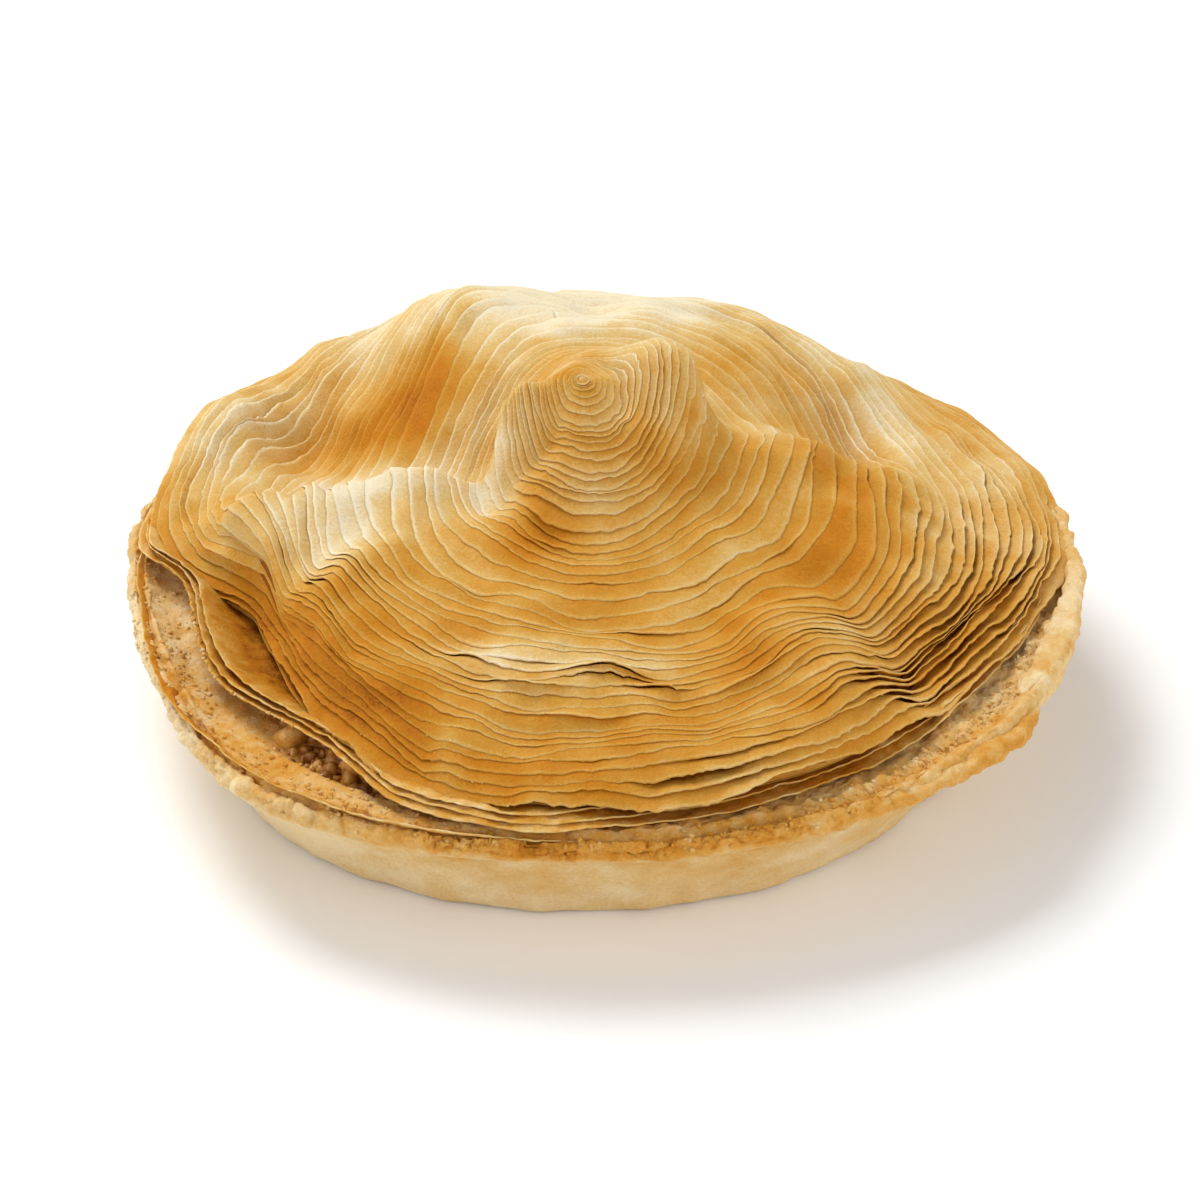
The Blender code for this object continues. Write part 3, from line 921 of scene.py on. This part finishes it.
def strip_grid(turn):
    """The strip's section carried along the coil, each point set off the lid's surface by its height.

    Returns the points, and at each of them its ring, its azimuth and how far it lies inside a gap.
    """
    azimuth = azimuth_of(turn)
    inner = free_edge(turn - 1.0)
    outer = free_edge(turn)
    tail = np.minimum(outer - inner, 0.9 * (inner - free_edge(turn - 2.0)))
    above = stand(turn, outer, azimuth)
    under_inner = step(turn - 1.0, inner, azimuth) + slit(turn - 1.0, inner, azimuth)
    below = stand(turn - 1.0, inner, azimuth) - under_inner
    thicker = 0.00022 * bump(azimuth, 348, 30) * ramp_up(outer, 0.040, 0.008)
    thickness = (np.clip(step(turn, outer, azimuth), *STRIP_THICKNESS) + thicker)[:, None]
    share, climb, under, hidden, place = STRIP_SECTION.T
    width = np.where(share < 0.0, tail[:, None], (outer - inner)[:, None])
    ring = np.clip(inner[:, None] + share * width, 0.0, None)
    ajar = ramp_up(under_inner, 0.0, 0.0020)[:, None]
    climb = climb ** (1.0 - 0.15 * ajar)
    height = below[:, None] + climb * (above - below)[:, None] - thickness * under - HIDDEN_DROP * hidden
    azimuth = np.broadcast_to(azimuth[:, None], ring.shape)
    # How deep each point lies inside a gap, which sets the painted shade there.
    inside = np.clip(under_inner / 0.0016 - 0.15, 0.0, 1.0)[:, None] * (1.0 - place) ** 1.2
    points = lid_point(ring, azimuth) + lid_normal(ring, azimuth) * height[..., None]
    return points, ring, azimuth, inside


# How brown the lid is, and where it is browner (+) or paler (-), partly painted shade as marked: azimuth,
# spread, ring, reach, amount.
LID_TOAST = 0.44
LID_TOASTS = {
    "left ridge": (188, 14, 0.0340, 0.0140, -0.28),
    "left foot of the peak": (200, 24, 0.0150, 0.0050, -0.44),
    "toasted at the peak's front foot": (246, 21, 0.0152, 0.0036, 0.36),
    "peak": (200, 200, 0.0030, 0.0030, 0.06),
    "left of the whorl": (180, 40, 0.0080, 0.0030, -0.10),
    "back of the hump": (50, 34, 0.0105, 0.0045, -0.26),
    # Painted shade: the wide bands at the front are browner where the peak shades them.
    "wide bands at the front": (266, 26, 0.0240, 0.0080, 0.06),
    "hollow behind the left ridge": (166, 20, 0.0280, 0.0090, -0.34),
    "right ridge, inner end": (340, 20, 0.0200, 0.0050, 0.10),
    "wide bands at the right front": (316, 16, 0.0310, 0.0060, 0.12),
    "pale waves": (268, 24, 0.0370, 0.0045, -0.20),
    "amber under the pale waves": (254, 13, 0.0450, 0.0030, 0.16),
    # Painted shade: amber under the lifted lens at the front.
    "amber in the front lens": (279, 5, 0.0402, 0.0018, 0.25),
    "hollow right of the front wave": (302, 9, 0.0400, 0.0060, 0.28),
    "amber, right front": (334, 12, 0.0330, 0.0070, 0.30),
    "red-brown pleats": (357, 11, 0.0320, 0.0090, 0.36),
    "right outside": (334, 22, 0.0560, 0.0070, 0.26),
    "front outside": (262, 34, 0.0540, 0.0080, 0.16),
    "left front, above the gap": (222, 24, 0.0540, 0.0080, 0.24),
    "left end": (196, 16, 0.0580, 0.0060, 0.26),
    "pleat at the left front": (228, 9, 0.0410, 0.0060, 0.20),
    "flank below the left ridge": (206, 10, 0.0370, 0.0070, -0.28),
    "left front edge": (250, 14, 0.0570, 0.0050, 0.14),
    "mound's left face": (140, 14, 0.0325, 0.0062, 0.70),
    "mound's outside": (131, 22, 0.0510, 0.0070, -0.28),
    "left back edge": (162, 12, 0.0550, 0.0080, -0.14),
    "back top": (98, 34, 0.0350, 0.0140, -0.60),
    "right back pale": (25, 14, 0.0440, 0.0080, -0.32),
    "right back": (40, 34, 0.0300, 0.0120, -0.06),
}


def toast_and_painted_light(turn, ring, azimuth, points):
    """How brown the lid is, 0 cream to 1 brown: named places (two painted shade), soft patches, turn by turn.
    """
    patches = 0.17 * rough(points, 0.012, 81) + 0.06 * rough(points, 0.0035, 82)
    by_turn = 0.07 * strip_noise(turn, 0.016, 83)[:, None]
    return np.clip(LID_TOAST + named_places(LID_TOASTS, ring, azimuth) + patches + by_turn, 0.0, 1.0)


# How much browner the strip is painted inside the gaps: painted shade.
GAP_PAINTED_SHADE = 0.02

# The coil is made in parts of about the same length, each cut at the back, out of view.
COIL_PARTS = 4
CUT_AZIMUTH = 100.0


def cuts_along(strip):
    """Where the parts of the strip begin and end: even shares of it, moved to the azimuth of the cuts."""
    shares = np.linspace(0.0, 1.0, COIL_PARTS + 1) * len(strip)
    turns = np.interp(shares, np.arange(len(strip)), strip)
    turns = np.round(turns - CUT_AZIMUTH / 360.0) + CUT_AZIMUTH / 360.0
    cuts = np.clip(np.searchsorted(strip, turns), 0, len(strip) - 1)
    cuts[0] = 0
    cuts[-1] = len(strip) - 1
    return cuts


def coil_part(name, turn):
    """One part of the coil, along the turns given."""
    grid, ring, azimuth, inside = strip_grid(turn)
    across = np.broadcast_to(STRIP_SECTION[:, 4], ring.shape)
    # The gaps' painted shade goes on top of the bake.
    brown = toast_and_painted_light(turn, ring, azimuth, grid) + GAP_PAINTED_SHADE * inside
    return grid_piece(name, grid[:, ::-1], {"across": across[:, ::-1], "toast_and_painted_light": brown[:, ::-1]}, capped=True)


strip = places_along_strip()
cuts = cuts_along(strip)
coils = [coil_part(f"lid_coil_{n + 1}", strip[cuts[n]: cuts[n + 1] + 1]) for n in range(COIL_PARTS)]
placed(coils, "spiral_lid", pastry)


# ---------------------------------------------------------------------------------------------
# The deeper turns: the same strip further down. A closed body a little under the lid's surface
# stands in for them, at the bottom of the long gaps and, as a stack of sheets, under the lifted
# left back edge.
# ---------------------------------------------------------------------------------------------

CORE_RINGS = 136
CORE_COLUMNS = 440
CORE_SHARE = 0.93
CORE_FLOOR = 0.0188
# How far it lies under the lid's surface, how high its ridges are and how far apart.
CORE_DEPTH = 0.0022
CORE_RIDGE = 0.0005
CORE_PITCH = 0.0021
# The sheets on its wall: how many, how far they stand out, and the rows of the mesh.
WALL_SHEETS = 7.0
WALL_SHEET_EDGE = 0.0008
WALL_ROWS = 42


def lid_core():
    """The lid's surface set down by depth - ridge x sin(2 pi ring / pitch), a floor and a wall of sheets.

    The wall's sheets stand out by edge x |sin(pi (sheets x climb + waver))|.
    """
    ring = np.linspace(0.0, CORE_SHARE, CORE_RINGS)[:, None] * LID_RADIUS
    azimuth = all_round(CORE_COLUMNS)[None, :]
    top = lid_point(ring + 0.0 * azimuth, azimuth + 0.0 * ring)
    ridges = np.sin(2.0 * np.pi * ring / CORE_PITCH + 1.5 * grain(top, 0.0060, 95))
    top[..., 2] -= CORE_DEPTH - CORE_RIDGE * ridges
    floor = top[::8].copy()
    floor[..., 2] = np.minimum(CORE_FLOOR, floor[..., 2] - 0.0002)
    top[..., 2] += 0.0021 * bell(ring, 0.0, 0.0009)
    climb = np.linspace(0.0, 1.0, WALL_ROWS + 2)[1:-1, None, None]
    wall = floor[-1:] * (1.0 - climb) + top[-1:] * climb
    waver = 0.35 * grain(wall[:1], 0.0090, 96) + 0.15 * grain(wall[:1], 0.0030, 97)
    edges = np.abs(np.sin(np.pi * (WALL_SHEETS * climb[..., 0] + waver)))
    outwards = wall[..., :2] / np.linalg.norm(wall[..., :2], axis=-1, keepdims=True)
    wall[..., :2] += WALL_SHEET_EDGE * edges[..., None] * outwards
    grid = np.concatenate([floor, wall, top[::-1]])
    edges = np.concatenate([np.zeros(floor.shape[:2]), edges, np.zeros(top.shape[:2])])
    tip = bell(np.linalg.norm(grid[..., :2] - top[0, 0, :2], axis=-1), 0.0, 0.0016)
    # Painted shade: the core is the darkest brown, at the bottom of the gaps; its sheet edges and its tip are
    # paler.
    return grid_piece("lid_core", grid, {"across": edges + tip, "toast_and_painted_light": 1.0 - 0.6 * tip - 0.45 * edges})


placed((lid_core(),), "spiral_lid", pastry)


# ---------------------------------------------------------------------------------------------
# The loose sheets: the last turns, which have come away from the coil. They lie in the gap and
# along the rim, and the lowest is baked on to the rim.
# ---------------------------------------------------------------------------------------------

# Each row: an azimuth, the free edge's radius and height, the inner edge's radius and height, and
# the sag between.
LOOSE_SHEETS = (
    (0, 0.0618, 0.0198, 0.0580, 0.0200, 0.0000),
    (20, 0.0618, 0.0195, 0.0580, 0.0198, 0.0000),
    (45, 0.0590, 0.0195, 0.0555, 0.0198, 0.0000),
    (90, 0.0590, 0.0197, 0.0555, 0.0200, 0.0000),
    (140, 0.0590, 0.0204, 0.0555, 0.0210, 0.0000),
    (174, 0.0610, 0.0216, 0.0560, 0.0232, 0.0002),
    (181, 0.0603, 0.0220, 0.0530, 0.0232, 0.0008),
    (185, 0.0562, 0.0226, 0.0455, 0.0202, 0.0016),
    (190, 0.0542, 0.0225, 0.0400, 0.0184, 0.0020),
    (197, 0.0546, 0.0222, 0.0385, 0.0178, 0.0020),
    (204, 0.0555, 0.0218, 0.0385, 0.0178, 0.0018),
    (211, 0.0563, 0.0215, 0.0395, 0.0178, 0.0016),
    (218, 0.0557, 0.0213, 0.0410, 0.0182, 0.0012),
    (225, 0.0546, 0.0211, 0.0440, 0.0192, 0.0005),
    (231, 0.0542, 0.0210, 0.0470, 0.0200, 0.0002),
    (238, 0.0562, 0.0208, 0.0510, 0.0206, 0.0002),
    (245, 0.0594, 0.0206, 0.0540, 0.0208, 0.0000),
    (252, 0.0602, 0.0205, 0.0555, 0.0210, 0.0000),
    (264, 0.0606, 0.0204, 0.0560, 0.0210, 0.0000),
    (270, 0.0594, 0.0204, 0.0550, 0.0206, 0.0004),
    (280, 0.0583, 0.0204, 0.0530, 0.0200, 0.0008),
    (292, 0.0581, 0.0204, 0.0530, 0.0200, 0.0006),
    (309, 0.0583, 0.0204, 0.0540, 0.0204, 0.0004),
    (324, 0.0580, 0.0206, 0.0540, 0.0204, 0.0004),
    (336, 0.0588, 0.0207, 0.0550, 0.0206, 0.0002),
    (348, 0.0606, 0.0206, 0.0570, 0.0206, 0.0000),
)

# The sheet under them, whose edge stands up as a thin lip at the left.
LIP_SHEET = (
    (0, 0.0580, 0.0172, 0.0560, 0.0172, 0.0000),
    (90, 0.0580, 0.0172, 0.0560, 0.0172, 0.0000),
    (168, 0.0588, 0.0178, 0.0565, 0.0178, 0.0000),
    (176, 0.0606, 0.0195, 0.0575, 0.0176, 0.0002),
    (181, 0.0609, 0.0200, 0.0570, 0.0172, 0.0004),
    (193, 0.0607, 0.0201, 0.0565, 0.0170, 0.0005),
    (202, 0.0615, 0.0201, 0.0570, 0.0170, 0.0005),
    (210, 0.0625, 0.0201, 0.0580, 0.0171, 0.0005),
    (218, 0.0632, 0.0201, 0.0590, 0.0172, 0.0005),
    (225, 0.0636, 0.0201, 0.0597, 0.0173, 0.0005),
    (232, 0.0637, 0.0200, 0.0600, 0.0174, 0.0004),
    (240, 0.0630, 0.0199, 0.0597, 0.0174, 0.0004),
    (248, 0.0622, 0.0197, 0.0592, 0.0174, 0.0003),
    (256, 0.0613, 0.0194, 0.0588, 0.0173, 0.0002),
    (264, 0.0603, 0.0190, 0.0580, 0.0172, 0.0000),
    (274, 0.0590, 0.0178, 0.0570, 0.0176, 0.0000),
    (300, 0.0580, 0.0172, 0.0560, 0.0172, 0.0000),
)
SHEET_COLUMNS = 1400
SHEET_ROUNDING = 60
SHEET_THICKNESS = 0.00032
# The radius of the circle along which the sheets' flutter is read from the noise.
FLUTTER_RADIUS = 0.058
# A sheet's cross-section: shares of the way from its inner edge to its free edge, over its top,
# round the edge and back, and how many thicknesses down each point lies.
SHEET_SHARE = np.concatenate([np.linspace(0.0, 0.93, 18), [0.98, 1.0, 1.0, 0.98], np.linspace(0.93, 0.0, 5)])
SHEET_UNDER = np.concatenate([np.zeros(18), [0.1, 0.35, 0.65, 0.9], np.ones(5)])


def rounded_columns(rows, azimuth):
    """Each column of the rows as values right round the pie, its corners rounded by averaging."""
    table = np.array(rows)
    knots = np.concatenate([table[:, 0] - 360.0, table[:, 0], table[:, 0] + 360.0])
    for column in table[:, 1:].T:
        line = np.interp(azimuth, knots, np.tile(column, 3))
        for _ in range(SHEET_ROUNDING):
            line = (np.roll(line, 1) + 2.0 * line + np.roll(line, -1)) / 4.0
        yield line


def sheet_bake_and_shade(baked, share, spread, grid, seed):
    """How brown a loose sheet is: bake, more in the gap and at the right front, painted shade and a paler
    edge.
    """
    brown = baked + 0.16 * bump(spread, 205, 24) + 0.14 * bump(spread, 300, 40)
    # Browner towards its inner edge in the gap, partly its orange bake and partly painted shade under the
    # coil's edge; its free edge is paler, a painted highlight.
    brown = brown + 0.34 * bump(spread, 207, 24) * (1.0 - share) ** 0.7 - 0.12 * (share > 0.96)
    brown = brown + 0.14 * rough(grid, 0.006, seed + 7) + 0.16 * rough(grid, 0.0011, seed + 8, 1)
    return np.clip(brown, 0.0, 1.0)


def loose_sheet(name, rows, seed, baked=0.56, nearer=0.0, nearer_in_gap=0.0, upwards=0.0):
    """A sheet along its rows of edges, smoothed round: straight across but for its sag and its flutter.

    It lies nearer the middle than its rows say by one length, and by a second one more in the long
    gap at the right front.
    """
    azimuth = all_round(SHEET_COLUMNS)
    radius, height, inner, inner_height, sag = rounded_columns(rows, azimuth)
    angle = np.radians(azimuth)
    circle = FLUTTER_RADIUS * np.stack([np.cos(angle), np.sin(angle), 0.0 * angle], axis=-1)
    flutter = 0.00035 * grain(circle, 0.0080, 201) + 0.00010 * grain(circle, 0.0024, seed + 1)
    waver = 0.00030 * grain(circle, 0.0100, seed + 2) + 0.00014 * grain(circle, 0.0022, seed + 3)
    waver = waver + 0.00010 * grain(circle, 0.0008, seed + 4)
    radius = radius - nearer - nearer_in_gap * bump(azimuth, 303, 30) + waver
    height = height + upwards + flutter
    share = SHEET_SHARE
    span = inner[:, None] + share * (radius - inner)[:, None]
    level = inner_height[:, None] + share * (height - inner_height)[:, None]
    level = level - 4.0 * sag[:, None] * share * (1.0 - share) - SHEET_THICKNESS * SHEET_UNDER
    grid = np.stack([span * np.cos(angle)[:, None], span * np.sin(angle)[:, None], level], axis=-1)
    spread = np.broadcast_to(azimuth[:, None], level.shape)
    gutter = bump(spread, 207, 26) * np.clip(1.4 - 1.6 * share, 0.0, 1.0)
    lumps = 0.00046 * rough(grid, 0.0052, 206) * np.sin(np.pi * share)
    grid[..., 2] += lumps + 0.00010 * rough(grid, 0.0010, seed + 6)
    grid[..., 2] += gutter * (0.00085 * rough(grid, 0.0034, 210) + 0.00034 * rough(grid, 0.0014, 211))
    brown = sheet_bake_and_shade(baked, share, spread, grid, seed)
    # The across share gives the flaky finish's painted shade towards the inner edge and painted highlight at
    # the free edge.
    across = np.broadcast_to(np.clip(share * 1.3, 0.0, 1.0), level.shape)
    return grid_piece(name, grid[:, ::-1], {"across": across[:, ::-1], "toast_and_painted_light": brown[:, ::-1]}, wrapped=True)


loose = (
    loose_sheet("lid_loose_1", LOOSE_SHEETS, 201),
    loose_sheet("lid_loose_2", LOOSE_SHEETS, 211, nearer=0.0007, nearer_in_gap=0.0009, upwards=0.0006),
    loose_sheet("lid_loose_3", LOOSE_SHEETS, 221, nearer=0.0014, nearer_in_gap=0.0020, upwards=0.0012),
    loose_sheet("lid_lip", LIP_SHEET, 231, baked=0.54),
)
placed(loose, "spiral_lid", pastry)


# ---------------------------------------------------------------------------------------------
# The crumbs: grains of baked dough on the rim, on the sheets in the gap and along the lid's front
# edges, and lumps of mince, sausage and jelly where the filling shows.
# ---------------------------------------------------------------------------------------------


def ball():
    """The corners and triangles of a ball with 42 corners and a radius of 1."""
    shape = bmesh.new()
    bmesh.ops.create_icosphere(shape, subdivisions=2, radius=1.0)
    corners = np.array([corner.co[:] for corner in shape.verts])
    triangles = np.array([[corner.index for corner in face.verts] for face in shape.faces])
    shape.free()
    return corners, triangles


def values_at(data, label, width):
    """A value or vector of each element of a mesh's data, one row for each."""
    values = np.empty(len(data) * width, np.float32)
    data.foreach_get(label, values)
    return values.reshape(-1, width).astype(float)


def grains_on(name, host, count, sizes, wanted, tones, seed, lumpiness=0.30):
    """Lumpy grains half sunk in a piece's skin, most of them small: radius = least + range x chance^3.

    wanted(azimuth, radius, height) says how likely they are at a place. Their tone is the skin's own,
    from the attribute named first in tones, lifted by the second value and spread by the third.
    """
    least, most = sizes
    label, lift, spread = tones
    chance = np.random.default_rng(seed)
    points = values_at(host.data.vertices, "co", 3)
    normals = values_at(host.data.vertices, "normal", 3)
    skin_tone = values_at(host.data.attributes[label].data, "value", 1)[:, 0]
    azimuth = np.degrees(np.arctan2(points[:, 1], points[:, 0]))
    likely = wanted(azimuth, np.hypot(points[:, 0], points[:, 1]), points[:, 2]) * (normals[:, 2] > 0.15)
    picked = chance.choice(len(points), count, p=likely / likely.sum())
    size = least + (most - least) * chance.random(count) ** 3
    corners, triangles = ball()
    stretch = chance.uniform(0.65, 1.35, (count, 1, 3))
    lumpy = grain(corners[None] * 1.3 + chance.uniform(0.0, 90.0, (count, 1, 3)), 1.0, seed)
    lumps = corners[None] * stretch * (1.0 + lumpiness * lumpy)[..., None] * size[:, None, None]
    centres = points[picked] + normals[picked] * (0.25 * size)[:, None]
    grains = (centres[:, None] + lumps).reshape(-1, 3)
    faces = (triangles[None] + np.arange(count)[:, None, None] * len(corners)).reshape(-1, 3)
    mesh = bpy.data.meshes.new(name)
    mesh.from_pydata(grains.tolist(), [], faces.tolist())
    tone = skin_tone[picked] + lift + spread * chance.uniform(-1.0, 1.0, count)
    tone = np.repeat(np.clip(tone, 0.0, 1.0), len(corners))
    # With across at 1, the flaky finish gives the lid's grains a painted highlight.
    return piece_of(mesh, {label: tone, "across": np.ones(len(tone))})


def on_rim(azimuth, radius, height):
    """Along the bead at the front, on the ledge at the left and in a band at the right front."""
    bead = bump(azimuth, 268, 46) * bell(radius, 0.0615, 0.0016)
    ledge = bump(azimuth, 205, 30) * bell(radius, 0.0585, 0.0030)
    band = bump(azimuth, 325, 22) * bell(radius, 0.0605, 0.0016)
    return (bead + 0.5 * ledge + 0.8 * band) * (height > 0.0168)


def in_the_gap(azimuth, radius, height):
    """On the loose sheet where it shows in the open gap at the left."""
    return bump(azimuth, 203, 14) * ramp_up(radius, 0.045, 0.004) * (height > 0.0180)


def on_the_front_edges(azimuth, radius, height):
    """Along the outer turns at the front, at any height."""
    return bump(azimuth, 255, 42) * bell(radius, 0.0540, 0.0060)


def in_the_filling(azimuth, radius, height):
    """On top of the meat where it shows at the left front."""
    return bump(azimuth, 236, 11) * bell(radius, 0.0530, 0.0030) * (height > 0.0150)


rim_grains = grains_on("crust_grains", rim, 1600, (0.00007, 0.00036), on_rim, ("browned_and_painted_light", 0.02, 0.14), 401)
placed((rim_grains,), "base_crust", dough)

lid_grains = (
    grains_on("lid_grains_gap", loose[0], 500, (0.00006, 0.00030), in_the_gap, ("toast_and_painted_light", 0.00, 0.25), 411),
    grains_on("lid_grains_front", coils[-1], 700, (0.00005, 0.00015), on_the_front_edges,
              ("toast_and_painted_light", -0.06, 0.16), 421),
)
placed(lid_grains, "spiral_lid", pastry)

lumps_of_meat = grains_on("filling_bits", meat_piece, 120, (0.00050, 0.00190), in_the_filling,
                          ("redness", 0.02, 0.50), 431, lumpiness=0.55)
placed((lumps_of_meat,), "filling", filling_finish)


# ---------------------------------------------------------------------------------------------
# The studio: a pale table top, a soft key light from the upper left and behind, larger and weaker
# fills from the front right and the left, and a camera that looks down on the pie from the front.
# ---------------------------------------------------------------------------------------------

VIEW_HEIGHT_ANGLE = 34.5
VIEW_DISTANCE = 0.60
VIEW_WIDTH = 0.1617
VIEW_TARGET = np.array((0.0011, 0.0, 0.0135))
# The table lies a hair under the pie, so that the two don't share a plane.
TABLE_SIZE = 6.0
TABLE_LEVEL = -0.00005
DAYLIGHT = 0.42


def soft_light(name, azimuth, elevation, distance, size, watts):
    """A square white area light at an azimuth and elevation, turned towards the pie."""
    turn = np.radians(azimuth)
    rise = np.radians(elevation)
    towards = np.array((np.cos(turn) * np.cos(rise), np.sin(turn) * np.cos(rise), np.sin(rise)))
    data = bpy.data.lights.new(name, "AREA")
    data.size = size
    data.energy = watts
    lamp = bpy.data.objects.new(name, data)
    lamp.location = towards * distance
    lamp.rotation_euler = (np.pi / 2.0 - rise, 0.0, turn + np.pi / 2.0)
    bpy.context.scene.collection.objects.link(lamp)


bpy.ops.mesh.primitive_plane_add(size=TABLE_SIZE, location=(0.0, 0.0, TABLE_LEVEL))
table = bpy.context.object
table.name = "table_top"
table_finish = bpy.data.materials.new("table_top")
table_finish.use_nodes = True
table_shader = table_finish.node_tree.nodes["Principled BSDF"]
table_shader.inputs["Base Color"].default_value = (0.90, 0.90, 0.90, 1.0)
table_shader.inputs["Roughness"].default_value = 0.9
table.data.materials.append(table_finish)

soft_light("key", 128, 55, 0.9, 0.45, 6.5)
soft_light("fill", 325, 25, 1.0, 0.9, 5.3)
soft_light("fill from the left", 208, 24, 1.0, 0.9, 3.3)

world = bpy.data.worlds.new("studio")
world.use_nodes = True
background = world.node_tree.nodes["Background"]
background.inputs["Color"].default_value = (1.0, 1.0, 1.0, 1.0)
background.inputs["Strength"].default_value = DAYLIGHT
bpy.context.scene.world = world
bpy.context.scene.view_settings.view_transform = "Standard"

camera_data = bpy.data.cameras.new("camera")
camera_data.lens = camera_data.sensor_width * VIEW_DISTANCE / VIEW_WIDTH
camera = bpy.data.objects.new("camera", camera_data)
rise = np.radians(VIEW_HEIGHT_ANGLE)
camera.location = VIEW_TARGET + VIEW_DISTANCE * np.array((0.0, -np.cos(rise), np.sin(rise)))
camera.rotation_euler = (np.pi / 2.0 - rise, 0.0, 0.0)
bpy.context.scene.collection.objects.link(camera)
bpy.context.scene.camera = camera
